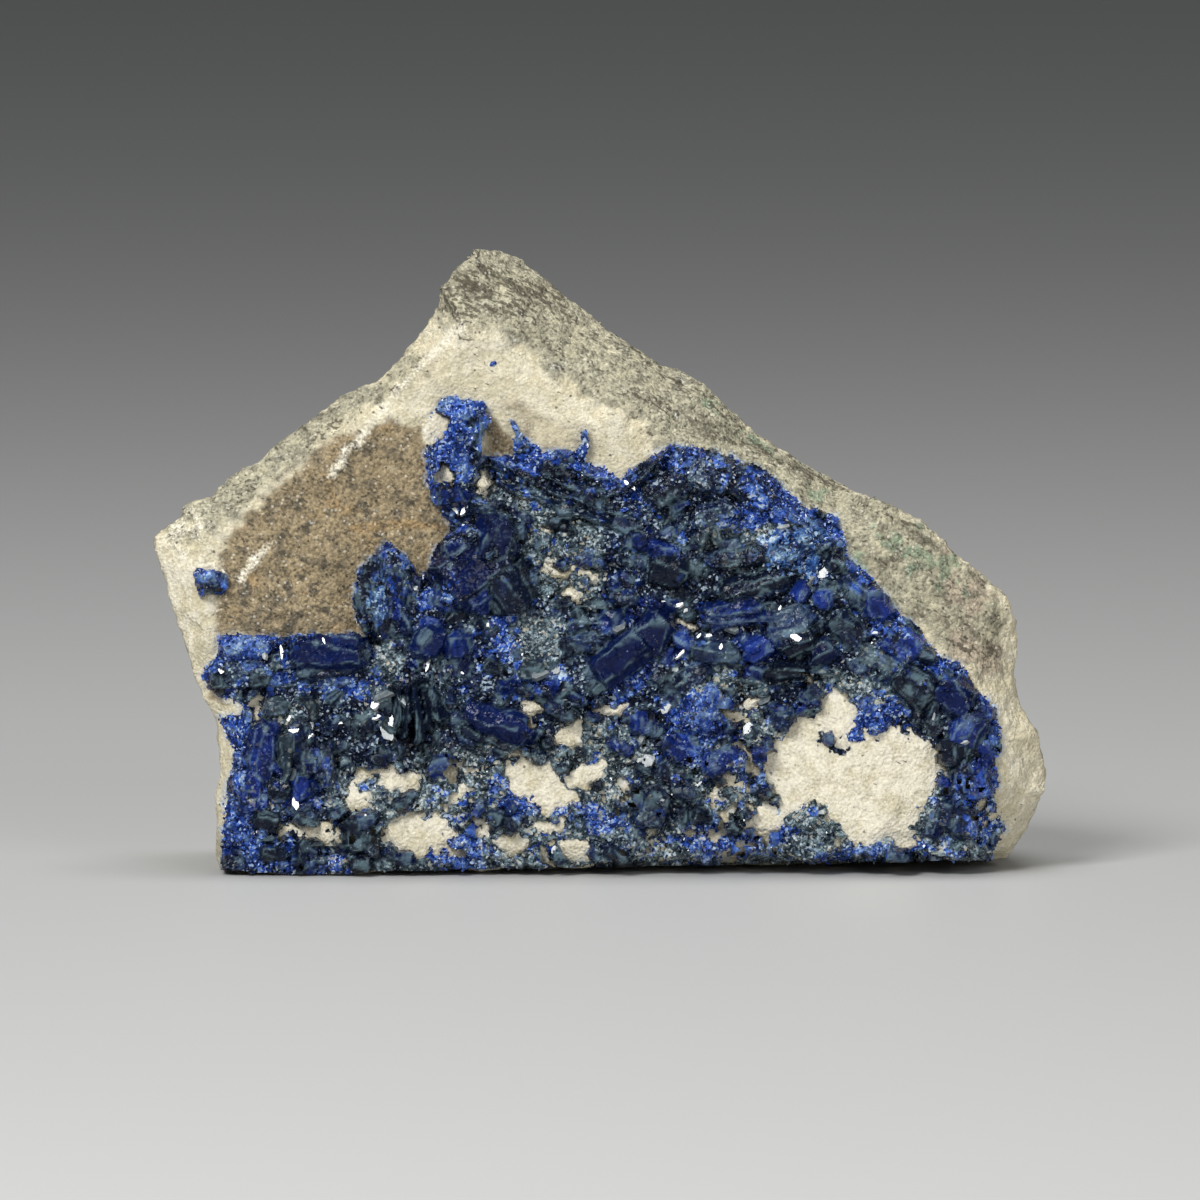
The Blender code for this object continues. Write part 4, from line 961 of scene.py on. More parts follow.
@dataclass(frozen=True)
class GrainFinish:
    """Small crystals of one habit, each with its own depth of colour."""

    habit: Habit
    lightest: float
    roughness: float = 0.14

    def build(self) -> bpy.types.Material:
        """Builds the material."""
        material = bpy.data.materials.new(f"azurite_{self.habit.value}_grains")
        material.use_nodes = True
        web = Web(material.node_tree)
        shader = web.tree.nodes["Principled BSDF"]
        cloud = web.noise(web.place(), 1.1, 2.0)
        level = web.times(web.value_of("tint"), self.lightest)
        level = web.times_plus(cloud, 0.5, web.math("ADD", level, -0.2))
        web.feed(shader.inputs["Base Color"], web.ramp(level, TONES[self.habit]))
        web.feed(shader.inputs["Roughness"], web.times_plus(cloud, 0.2, self.roughness))
        shader.inputs["IOR"].default_value = CRYSTAL_IOR
        return material


@dataclass(frozen=True)
class FlakeFinish:
    """Broken faces that catch the light, with their pale colour a painted highlight."""

    name: str = "azurite_flake_finish"
    dull: tuple[float, float, float] = (0.10, 0.125, 0.14)
    pale: tuple[float, float, float] = (0.80, 0.83, 0.82)

    def build(self) -> bpy.types.Material:
        """Builds the material."""
        material = bpy.data.materials.new(self.name)
        material.use_nodes = True
        web = Web(material.node_tree)
        shader = web.tree.nodes["Principled BSDF"]
        smear = web.noise(web.place(), 0.5, 2.0)
        level = web.times_plus(smear, 0.6, web.math("ADD", web.value_of("tint"), -0.5))
        # Painted highlight: the brighter the flake, the paler its colour, whatever the light.
        colour = web.mix(web.step(level, 0.0, 1.0), self.dull, self.pale)
        web.feed(shader.inputs["Base Color"], colour)
        web.feed(shader.inputs["Roughness"], web.times_plus(smear, 0.3, 0.05))
        shader.inputs["IOR"].default_value = CRYSTAL_IOR
        return material


@dataclass(frozen=True)
class SandstoneFinish:
    """Fine cream sandstone, stained, weathered and specked with dark grains."""

    name: str = "sandstone_finish"
    cream: tuple[float, float, float] = (0.575, 0.515, 0.355)
    buff: tuple[float, float, float] = (0.70, 0.65, 0.505)
    chalk: tuple[float, float, float] = (0.80, 0.745, 0.60)
    brown: tuple[float, float, float] = (0.225, 0.165, 0.085)
    umber: tuple[float, float, float] = (0.095, 0.078, 0.052)
    ochre: tuple[float, float, float] = (0.36, 0.225, 0.085)
    grey: tuple[float, float, float] = (0.30, 0.285, 0.20)
    pink: tuple[float, float, float] = (0.36, 0.265, 0.20)
    soil: tuple[float, float, float] = (0.060, 0.050, 0.030)
    dark: tuple[float, float, float] = (0.028, 0.025, 0.018)
    green: tuple[float, float, float] = (0.19, 0.265, 0.17)
    halo: tuple[float, float, float] = (0.33, 0.47, 0.66)
    dash_slope: float = 28.0
    bump_height: float = 0.16

    def build(self) -> bpy.types.Material:
        """Builds the material."""
        material = bpy.data.materials.new(self.name)
        material.use_nodes = True
        web = Web(material.node_tree)
        shader = web.tree.nodes["Principled BSDF"]
        place = web.place()
        cloud = web.noise(place, 3.2, 5.0)
        mottle = web.noise(place, 1.5, 4.0)
        grain = web.noise(place, 0.30, 3.0)
        grains = web.cells(place, 0.34)
        fine = web.add("ShaderNodeSeparateColor")
        web.feed(fine.inputs[0], grains.outputs["Color"])
        coarse = web.add("ShaderNodeSeparateColor")
        web.feed(coarse.inputs[0], web.cells(place, 0.75).outputs["Color"])
        ragged = web.times_plus(web.math("SUBTRACT", mottle, 0.5), 1.2, cloud)
        ragged = web.times_plus(web.math("SUBTRACT", grain, 0.5), 0.9, ragged)
        specks = web.value_of("specks")

        colour = web.mix(web.step(ragged, 0.25, 0.85), self.cream, self.buff)
        colour = self.masked(web, colour, "brown", self.brown, ragged, 0.88)
        umber = web.times(web.value_of("brown"), web.step(mottle, 0.50, 0.68))
        colour = web.mix(web.times(umber, 0.62), colour, self.umber)
        warm = web.times(web.value_of("brown"), web.step(cloud, 0.56, 0.70))
        colour = web.mix(web.times(warm, 0.35), colour, self.ochre)
        colour = self.masked(web, colour, "grey", self.grey, ragged, 0.84)
        colour = self.masked(web, colour, "pink", self.pink, ragged, 0.45)
        colour = self.masked(web, colour, "ochre", self.ochre, ragged, 0.45)
        stained = web.times(specks, web.step(mottle, 0.50, 0.66))
        colour = web.mix(web.times(stained, 0.60), colour, self.umber)
        colour = self.masked(web, colour, "green", self.green, ragged, 0.66)
        colour = self.masked(web, colour, "halo", self.halo, ragged, 0.42)
        colour = self.masked(web, colour, "chalk", self.chalk, ragged, 0.80)

        uneven = web.times(fine.outputs[0], 0.50)
        uneven = web.times_plus(coarse.outputs[0], 0.26, uneven)
        uneven = web.times_plus(grain, 1.7, web.math("ADD", uneven, -1.23))
        amount = web.times_plus(specks, 1.10, 0.28)
        colour = web.scaled(colour, web.times_plus(uneven, amount, 1.0))

        turned = web.add("ShaderNodeVectorRotate", rotation_type="Y_AXIS")
        web.feed(turned.inputs["Vector"], place)
        turned.inputs["Angle"].default_value = math.radians(-self.dash_slope)
        drawn = web.add("ShaderNodeVectorMath", operation="MULTIPLY")
        web.feed(drawn.inputs[0], turned.outputs[0])
        drawn.inputs[1].default_value = (0.42, 1.0, 1.0)
        dashes = web.noise(drawn.outputs[0], 0.38, 3.0)
        soiled = web.times_plus(web.value_of("dirt"), 0.13, dashes)
        soiled = web.times_plus(specks, 0.12, soiled)
        soiled = web.times_plus(mottle, 0.30, soiled)
        dash = web.step(soiled, 0.84, 0.93)
        colour = web.mix(web.times(dash, 0.80), colour, self.soil)
        seam = web.times(web.value_of("crack"), web.step(ragged, 0.9, 0.3))
        colour = web.mix(web.times(seam, 0.75), colour, self.soil)
        tight = web.math("SUBTRACT", 1.0, web.step(grains.outputs["Distance"], 0.25, 0.6))
        chance = web.times_plus(specks, 0.05, fine.outputs[1])
        speck = web.times(web.step(chance, 0.985, 1.0), tight)
        colour = web.mix(web.times(speck, 0.75), colour, self.dark)
        # Painted highlight: pale glints painted on a few sand grains.
        painted_glint = web.times(web.step(fine.outputs[2], 0.90, 0.96), tight)
        colour = web.mix(web.times(painted_glint, 0.50), colour, self.chalk)
        web.feed(shader.inputs["Base Color"], colour)
        web.feed(shader.inputs["Roughness"], web.times_plus(fine.outputs[2], -0.3, 0.95))

        bump = web.add("ShaderNodeBump")
        bump.inputs["Strength"].default_value = 1.0
        bump.inputs["Distance"].default_value = self.bump_height * MM
        height = web.times_plus(grains.outputs["Distance"], -0.7, grain)
        web.feed(bump.inputs["Height"], web.times_plus(mottle, 1.2, height))
        web.feed(shader.inputs["Normal"], bump.outputs[0])
        return material

    def masked(
        self,
        web: Web,
        under: bpy.types.NodeSocket,
        name: str,
        over: tuple[float, float, float],
        noise: bpy.types.NodeSocket,
        most: float,
    ) -> bpy.types.NodeSocket:
        """Lays one stain over the colour, with an edge that the noise breaks up.

        Args:
            web: The material's web.
            under: The colour so far.
            name: The stored value that says where the stain is.
            over: The stain's colour.
            noise: What breaks up its edge.
            most: How much of it shows at its heart.

        Returns:
            The new colour's socket.
        """
        share = web.value_of(name)
        broken = web.times_plus(web.math("SUBTRACT", noise, 0.5), 0.9, share)
        strength = web.times(web.step(broken, 0.22, 0.80), most)
        return web.mix(strength, under, over)


@dataclass
class StoneSlab:
    """The sandstone slab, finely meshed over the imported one.

    Attributes:
        front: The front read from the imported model.
        voxel: Size of the first, even mesh, in millimetres.
        roughness: Height of its lumps, in millimetres.
        sharpening: How often its edges are drawn out again.
        sharpness: How far they are drawn out each time.
    """

    front: Front
    voxel: float = 0.55
    roughness: float = 0.22
    sharpening: int = 2
    sharpness: float = 0.45
    brown_outline: list = field(
        default_factory=lambda: [
            (-39.4, 31.0), (-37.0, 35.4), (-31.0, 40.6), (-27.0, 44.2), (-21.4, 45.8),
            (-18.4, 45.2), (-15.0, 44.0), (-13.0, 40.0), (-12.0, 41.6), (-11.9, 45.6),
            (-10.4, 46.4), (-8.4, 44.4), (-7.6, 42.2), (-12.0, 34.0), (-16.0, 26.0),
            (-22.0, 22.0), (-32.0, 22.6), (-38.4, 24.2), (-39.6, 18.0), (-37.0, 16.0),
            (-38.4, 22.0), (-39.0, 28.0),
        ]
    )
    chalk_run: list = field(
        default_factory=lambda: [(-13.8, 55.4), (-20.0, 49.2), (-25.5, 42.2), (-26.7, 40.2)]
    )
    chalk_stub: list = field(default_factory=lambda: [(-33.0, 33.7), (-36.0, 29.9)])
    top_left_edge: list = field(
        default_factory=lambda: [
            (-42.0, 36.0), (-38.3, 38.4), (-30.0, 45.6), (-24.0, 49.4), (-20.0, 52.0),
        ]
    )
    top_right_edge: list = field(
        default_factory=lambda: [
            (-13.4, 62.0), (-7.0, 61.0), (-0.2, 55.8), (7.9, 51.0), (15.3, 45.1), (24.5, 39.0),
        ]
    )
    right_facet: list = field(
        default_factory=lambda: [
            (24.8, 38.0), (30.7, 36.5), (38.5, 30.1), (41.4, 27.0), (40.8, 20.0), (37.6, 19.4),
            (33.0, 23.4), (27.0, 30.0),
        ]
    )
    dirt_runs: list = field(
        default_factory=lambda: [
            ([(-14.0, 59.6), (-11.0, 57.6), (-7.0, 56.4)], 2.2),
            ([(-12.6, 60.8), (-9.0, 59.4), (-5.0, 57.8)], 1.6),
            ([(-13.2, 55.0), (-12.6, 52.4), (-12.0, 50.4)], 1.2),
            ([(-15.4, 58.4), (-12.6, 56.4)], 1.8),
            ([(9.0, 45.8), (13.0, 44.0), (16.0, 42.8), (25.0, 39.2)], 0.5),
            ([(26.8, 37.6), (30.0, 35.8), (34.0, 33.4), (39.0, 29.4)], 0.4),
            ([(2.0, 54.0), (8.0, 49.0), (14.0, 45.6)], 0.9),
            ([(36.0, 23.0), (40.0, 22.0)], 1.5),
            ([(20.0, 42.0), (24.0, 39.2)], 1.3),
            ([(4.0, 48.6), (7.0, 46.8)], 0.8),
            ([(-29.0, 43.2), (-26.0, 45.4)], 1.0),
            ([(-36.6, 38.4), (-34.0, 40.0)], 0.8),
            ([(-4.0, 47.8), (-3.4, 47.4)], 0.6),
        ]
    )
    green_spots: tuple = (
        (10.4, 47.2, 1.6, 0.9, -20), (34.0, 31.6, 4.8, 2.6, -40), (38.4, 28.8, 2.0, 0.8, -36),
        (21.6, 39.0, 1.6, 1.2, -20), (29.4, 34.2, 2.6, 1.6, -20), (7.4, 3.4, 1.8, 1.2, 0),
        (-26.8, 0.8, 1.2, 0.8, 0), (15.0, 44.0, 3.0, 0.7, -34), (26.0, 31.6, 0.8, 2.2, 10),
    )
    ochre_run: tuple = ((-25.0, 34.9), (-19.0, 35.2), (-15.6, 35.0))
    pale_corner: tuple = (-41.6, 29.0, 3.2, 9.5, 0)
    cracks: tuple = (
        ((9.0, 45.7), (12.4, 45.2), (15.8, 42.8), (19.2, 41.4), (23.4, 39.6), (25.2, 38.4)),
        ((25.8, 37.8), (29.0, 35.8), (31.8, 34.0), (34.4, 32.2), (36.8, 30.6), (38.8, 29.4)),
        ((-11.4, 60.6), (-7.0, 58.6), (-3.0, 56.2)),
        ((-38.6, 37.0), (-34.0, 38.2), (-30.4, 41.6), (-26.0, 44.8)),
        ((37.2, 24.4), (39.0, 23.2), (40.4, 22.6)),
    )

    def build(self, node: bpy.types.Object) -> bpy.types.Object:
        """Builds the slab.

        Args:
            node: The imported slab.

        Returns:
            The finished object, undressed.
        """
        rough = placed("rough_stone", merged_copy(node))
        remesh = rough.modifiers.new("even", "REMESH")
        remesh.mode = "VOXEL"
        remesh.voxel_size = self.voxel * MM
        graph = bpy.context.evaluated_depsgraph_get()
        even = bpy.data.meshes.new_from_object(rough.evaluated_get(graph))
        bpy.data.objects.remove(rough, do_unlink=True)
        self.sharpen(even)
        self.refine(even)
        self.roughen(even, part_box(node.name))
        even.shade_smooth()
        even.name = "sandstone"
        slab = placed("sandstone", even)
        self.note_stains(even)
        return slab

    def sharpen(self, mesh: bpy.types.Mesh) -> None:
        """Gives back the edges that the even mesh rounded off."""
        corners = points_of(mesh)
        ends = np.array([edge.vertices[:] for edge in mesh.edges])
        counted = np.bincount(ends.ravel(), minlength=len(corners))[:, None]
        for _ in range(self.sharpening):
            around = np.zeros(corners.shape)
            np.add.at(around, ends[:, 0], corners[ends[:, 1]])
            np.add.at(around, ends[:, 1], corners[ends[:, 0]])
            corners = corners + self.sharpness * (corners - around / counted)
        mesh.vertices.foreach_set("co", corners.astype(np.float32).ravel())
        mesh.update()

    def refine(self, mesh: bpy.types.Mesh) -> None:
        """Halves the mesh wherever bare stone faces the viewer or makes the outline."""
        shape = bmesh.new()
        shape.from_mesh(mesh)
        shape.faces.ensure_lookup_table()
        middles = np.array([face.calc_center_median() for face in shape.faces])
        facing = np.array([face.normal.y for face in shape.faces])
        bare = outline_depth(self.front.mapped(middles), AZURITE_OUTLINE) < 0.6
        window = outline_depth(self.front.mapped(middles), WINDOW_OUTLINE) > -1.5
        near_spot = np.zeros(len(middles), bool)
        for spot in BARE_SPOTS:
            near_spot |= oval_depth(self.front.mapped(middles), spot) > -1.0
        rim = (facing < 0.1) & (middles[:, 2] > 25.0 * MM)
        wanted = ((facing < -0.25) & (bare | window | near_spot)) | rim
        edges = {edge for i in np.flatnonzero(wanted) for edge in shape.faces[i].edges}
        bmesh.ops.subdivide_edges(shape, edges=list(edges), cuts=1, use_grid_fill=True)
        shape.to_mesh(mesh)
        shape.free()
        mesh.update()

    def roughen(self, mesh: bpy.types.Mesh, limits: tuple) -> None:
        """Moves the points out and in by broken-stone relief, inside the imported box.

        Args:
            mesh: The slab's mesh.
            limits: Lowest and highest corner that the stone may reach.
        """
        corners = points_of(mesh)
        normals = normals_of(mesh)
        spread = corners.T / MM
        relief = 1.1 * cloudy(spread, 3.2, 41) - 0.9 * np.abs(cloudy(spread, 1.5, 47))
        relief += 0.7 * ripple(spread, 0.8, 53) * smooth(-0.4, 0.6, ripple(spread, 5.0, 59))
        relief += 0.6 * ripple(spread, 0.5, 57) * smooth(-0.3, 0.4, normals[:, 2])
        moved = corners + normals * (self.roughness * relief * MM)[:, None]
        spots = self.front.mapped(corners)
        in_front = smooth(0.1, 0.5, -normals[:, 1])
        torn = torn_places(spots)
        proud = np.zeros(len(corners))
        for spot in BARE_SPOTS:
            proud = np.maximum(proud, smooth(-0.15, 0.3, oval_depth(torn, spot)))
        rise = 0.25 + 0.85 * smooth(12.0, 22.0, spots[1]) + 0.6 * smooth(36.0, 39.0, spots[1])
        rise *= 0.15 + 0.85 * smooth(1.0, 3.0, outline_depth(spots, AZURITE_OUTLINE))
        moved[:, 1] -= proud * in_front * rise * MM
        low, high = (np.array(corner) for corner in limits)
        moved = np.clip(moved, low, high)
        on_floor = corners[:, 2] < FLAT_FOOT * MM
        moved[on_floor] = np.clip(corners[on_floor], low, high)
        mesh.vertices.foreach_set("co", moved.astype(np.float32).ravel())
        mesh.update()

    def note_stains(self, mesh: bpy.types.Mesh) -> None:
        """Stores where each stain lies, for the material to read."""
        corners = points_of(mesh)
        spread = corners.T / MM
        spots = self.front.mapped(corners)
        on_front = smooth(0.05, 0.45, -normals_of(mesh)[:, 1])
        wander = spots + 0.9 * np.stack([cloudy(spread, 3.0, 61), cloudy(spread, 3.0, 67)])
        blotches = cloudy(spread, 6.0, 71)

        clean = smooth(-1.6, 0.0, outline_depth(spots, WINDOW_OUTLINE))
        for spot in BARE_SPOTS:
            clean = np.maximum(clean, smooth(-0.7, 0.0, oval_depth(spots, spot)))
        brown = smooth(-0.8, 1.4, outline_depth(wander, self.brown_outline)) * on_front
        brown *= 1.0 - clean
        note_values(mesh, "brown", np.maximum(brown, 0.45 * smooth(0.2, 0.7, blotches)))

        top_left = 1.0 - smooth(1.8, 4.0, run_distance(wander, self.top_left_edge))
        top_right = 1.0 - smooth(5.4, 8.4, run_distance(wander, self.top_right_edge))
        facet = smooth(-0.8, 1.2, outline_depth(wander, self.right_facet))
        behind = (1.0 - on_front) * smooth(-0.35, 0.5, blotches + 0.02 * (spread[2] - 20.0))
        grey = np.maximum.reduce([0.75 * top_left, 0.85 * top_right, 0.8 * facet])
        note_values(mesh, "grey", np.maximum(grey * on_front, 0.8 * behind))
        note_values(mesh, "specks", np.maximum.reduce([grey, 0.85 * brown, 0.5 * behind]))
        note_values(mesh, "pink", facet * on_front * smooth(-0.1, 0.4, cloudy(spread, 5.0, 77)))
        ochre = 1.0 - smooth(0.2, 0.8, run_distance(wander, self.ochre_run))
        note_values(mesh, "ochre", ochre * on_front)

        calmer = 0.6 * spots + 0.4 * wander
        chalk = 0.62 * (1.0 - smooth(0.0, 1.1, run_distance(calmer, self.chalk_run)))
        stub = 0.60 * (1.0 - smooth(0.1, 1.0, run_distance(calmer, self.chalk_stub)))
        corner = 0.5 * smooth(-1.5, 1.0, oval_depth(wander, self.pale_corner))
        chalk = np.maximum.reduce([chalk, stub, corner, 0.62 * clean])
        note_values(mesh, "chalk", chalk * on_front)

        dirt = np.zeros(len(corners))
        for run, half_width in self.dirt_runs:
            near = 1.0 - smooth(0.2 * half_width, half_width, run_distance(wander, run))
            dirt = np.maximum(dirt, near)
        note_values(mesh, "dirt", 0.9 * dirt)
        slight = 0.65 * spots + 0.35 * wander
        crack = np.zeros(len(corners))
        for run in self.cracks:
            crack = np.maximum(crack, 1.0 - smooth(0.05, 0.55, run_distance(slight, run)))
        note_values(mesh, "crack", crack * smooth(-0.5, 0.1, cloudy(spread, 2.6, 79)))

        green = np.zeros(len(corners))
        for spot in self.green_spots:
            green = np.maximum(green, smooth(-0.6, 0.8, oval_depth(wander, spot)))
        note_values(mesh, "green", 0.9 * green * smooth(-0.45, 0.3, cloudy(spread, 1.2, 73)))

        cover = azurite_cover(spots)
        halo = smooth(-0.6, -0.1, cover) * on_front
        note_values(mesh, "halo", 0.5 * halo)


def torn_places(spots: np.ndarray) -> np.ndarray:
    """Map points pushed about, so that an outline read at them comes out ragged."""
    torn = spots + 0.9 * np.stack([cloudy(spots, 1.8, 85), cloudy(spots, 1.8, 87)])
    return torn + 0.68 * np.stack([cloudy(spots, 0.6, 86, 2), cloudy(spots, 0.6, 88, 2)])


def azurite_cover(spots: np.ndarray) -> np.ndarray:
    """How far map points lie inside the azurite, in millimetres, negative on bare stone."""
    frayed = spots + 0.35 * np.stack([cloudy(spots, 1.1, 81), cloudy(spots, 1.1, 83)])
    cover = outline_depth(frayed, AZURITE_OUTLINE)
    torn = torn_places(spots)
    window = outline_depth(torn, WINDOW_OUTLINE)
    for island in WINDOW_ISLANDS:
        window = np.minimum(window, -oval_depth(torn, island))
    cover = np.minimum(cover, -window)
    for spot in BARE_SPOTS:
        cover = np.minimum(cover, -1.2 * oval_depth(torn, spot))
    near_bare = smooth(16.0, 12.0, spots[1]) * smooth(-34.0, -30.0, spots[0])
    pinholes = 0.5 * cloudy(spots, 0.9, 89, 2) + 0.3 * cloudy(spots, 5.0, 90, 2)
    hole = near_bare * smooth(0.22, 0.5, pinholes)
    return np.where(hole > 0.05, np.minimum(cover, 0.9 - 1.6 * hole), cover)


def side_cover(spots: np.ndarray) -> np.ndarray:
    """How far map points lie inside the patch at the left edge, in millimetres."""
    frayed = spots + 0.3 * np.stack([cloudy(spots, 0.9, 81), cloudy(spots, 0.9, 83)])
    return outline_depth(frayed, SIDE_PATCH_OUTLINE)


def speck_cover(spots: np.ndarray) -> np.ndarray:
    """How far map points lie inside the speck below the peak, in millimetres."""
    return oval_depth(spots, (-10.7, 51.4, 0.6, 0.4, 30.0))


def crystal_planes(blade: Blade, rng: np.random.Generator) -> tuple[np.ndarray, np.ndarray]:
    """Faces of a bladed crystal.

    Args:
        blade: Its size.
        rng: Source of the small differences between crystals.

    Returns:
        Outward unit normals and distances from the centre, in millimetres.
    """
    half = np.array([blade.length, blade.width, blade.height]) / 2
    faces = [((0, 0, 1), 1.0), ((0.12, 0.1, 1), 0.96)]
    for side in (-1, 1):
        faces.append(((0, side, 0.14), 1.0))
        faces.append(((0, side, 0.8), 0.74))
        faces.append(((side, 0, 0.5), 0.80))
        faces.append(((side, 0.7, 0.1), 0.74))
        faces.append(((side, -0.7, 0.1), 0.74))
    normals = np.array([normal for normal, _ in faces], float)
    reach = np.abs(normals) @ half * np.array([share for _, share in faces])
    reach /= np.linalg.norm(normals, axis=1)
    normals += rng.normal(0.0, 0.09, normals.shape)
    normals /= np.linalg.norm(normals, axis=1)[:, None]
    return normals, reach * rng.uniform(0.84, 1.08, len(faces))


def crystal_corners(normals: np.ndarray, distances: np.ndarray) -> np.ndarray:
    """Corners of the closed shape that the planes bound."""
    trios = np.array(list(itertools.combinations(range(len(normals)), 3)))
    systems = normals[trios]
    solvable = np.abs(np.linalg.det(systems)) > 1e-6
    found = np.linalg.solve(systems[solvable], distances[trios[solvable]][:, :, None])[:, :, 0]
    fits = (found @ normals.T <= distances + 1e-7).all(axis=1)
    return np.unique(np.round(found[fits], 5), axis=0)


def blade_frame(turn: float, tilt: float, roll: float) -> Matrix:
    """Turn of a blade in degrees: its length, width and thickness as columns."""
    turned = math.radians(turn)
    along = Vector((math.cos(turned), 0.0, math.sin(turned)))
    outwards = Vector((0.0, -1.0, 0.0))
    across = outwards.cross(along)
    frame = Matrix((along, across, outwards)).transposed()
    frame = Matrix.Rotation(math.radians(roll), 3, along) @ frame
    return Matrix.Rotation(math.radians(-tilt), 3, across) @ frame


@dataclass
class Sheet:
    """A patch of azurite as a sheet of points over the map, built up crystal by crystal.

    Attributes:
        x: Map x of the points, in millimetres.
        z: Map z of the points.
        used: Which points the sheet has.
        top: How far each point stands towards the viewer, as minus its world y.
        second: The same for what lies next below the crystal that shows.
        facing: Distance to the next face of the crystal that shows, as a height.
        habit: Number of the habit of the crystal that shows, or minus one for the crust.
        polish: How clean that crystal's faces are.
        tint: Its random number.
        side: Place across that crystal, in millimetres.
        run: Place along it.
        bend: How far outlines are pushed aside at each point, which makes them uneven.
    """

    x: np.ndarray
    z: np.ndarray
    used: np.ndarray
    top: np.ndarray
    second: np.ndarray = None
    facing: np.ndarray = None
    habit: np.ndarray = None
    polish: np.ndarray = None
    tint: np.ndarray = None
    side: np.ndarray = None
    run: np.ndarray = None
    bend: np.ndarray = None

    def __post_init__(self) -> None:
        """Starts with the bare crust."""
        self.second = self.top - 9.0
        self.facing = np.full(self.top.shape, 9.0)
        self.habit = np.full(self.top.shape, -1)
        self.polish = np.zeros(self.top.shape)
        self.tint = np.full(self.top.shape, 0.5)
        spots = np.stack([self.x, self.z])
        turns = np.radians([turn for _, _, turn in GRAIN])
        away = [np.hypot(self.x - x, self.z - z) for x, z, _ in GRAIN]
        turn = turns[np.argmin(away, axis=0)]
        self.side = self.z * np.cos(turn) - self.x * np.sin(turn)
        self.run = self.x * np.cos(turn) + self.z * np.sin(turn)
        self.bend = 0.24 * np.stack([cloudy(spots, 1.3, 127, 2), cloudy(spots, 1.3, 129, 2)])

    def window(self, x: float, z: float, reach: float) -> tuple[slice, slice]:
        """The part of the grid around a place."""
        step = self.x[0, -1] - self.x[0, 0]
        step /= self.x.shape[1] - 1
        left = int((x - reach - self.x[0, 0]) / step)
        low = int((z - reach - self.z[0, 0]) / step)
        size = int(2 * reach / step) + 2
        rows = slice(max(low, 0), max(low + size, 0))
        return rows, slice(max(left, 0), max(left + size, 0))

    def lay(self, part: tuple, height: np.ndarray, lead: np.ndarray, marks: tuple) -> None:
        """Adds a shape, which shows wherever it stands highest.

        Args:
            part: The part of the grid.
            height: The shape's height there.
            lead: How far its nearest own edge is, as a height.
            marks: Its habit's number, its polish, its tint, and places across and along it.
        """
        newer = height > self.top[part]
        self.second[part] = np.where(newer, self.top[part], np.maximum(self.second[part], height))
        self.facing[part] = np.where(newer, lead, self.facing[part])
        self.top[part] = np.maximum(self.top[part], height)
        kept_marks = (self.habit, self.polish, self.tint, self.side, self.run)
        for kept, mark in zip(kept_marks, marks):
            kept[part] = np.where(newer, mark, kept[part])


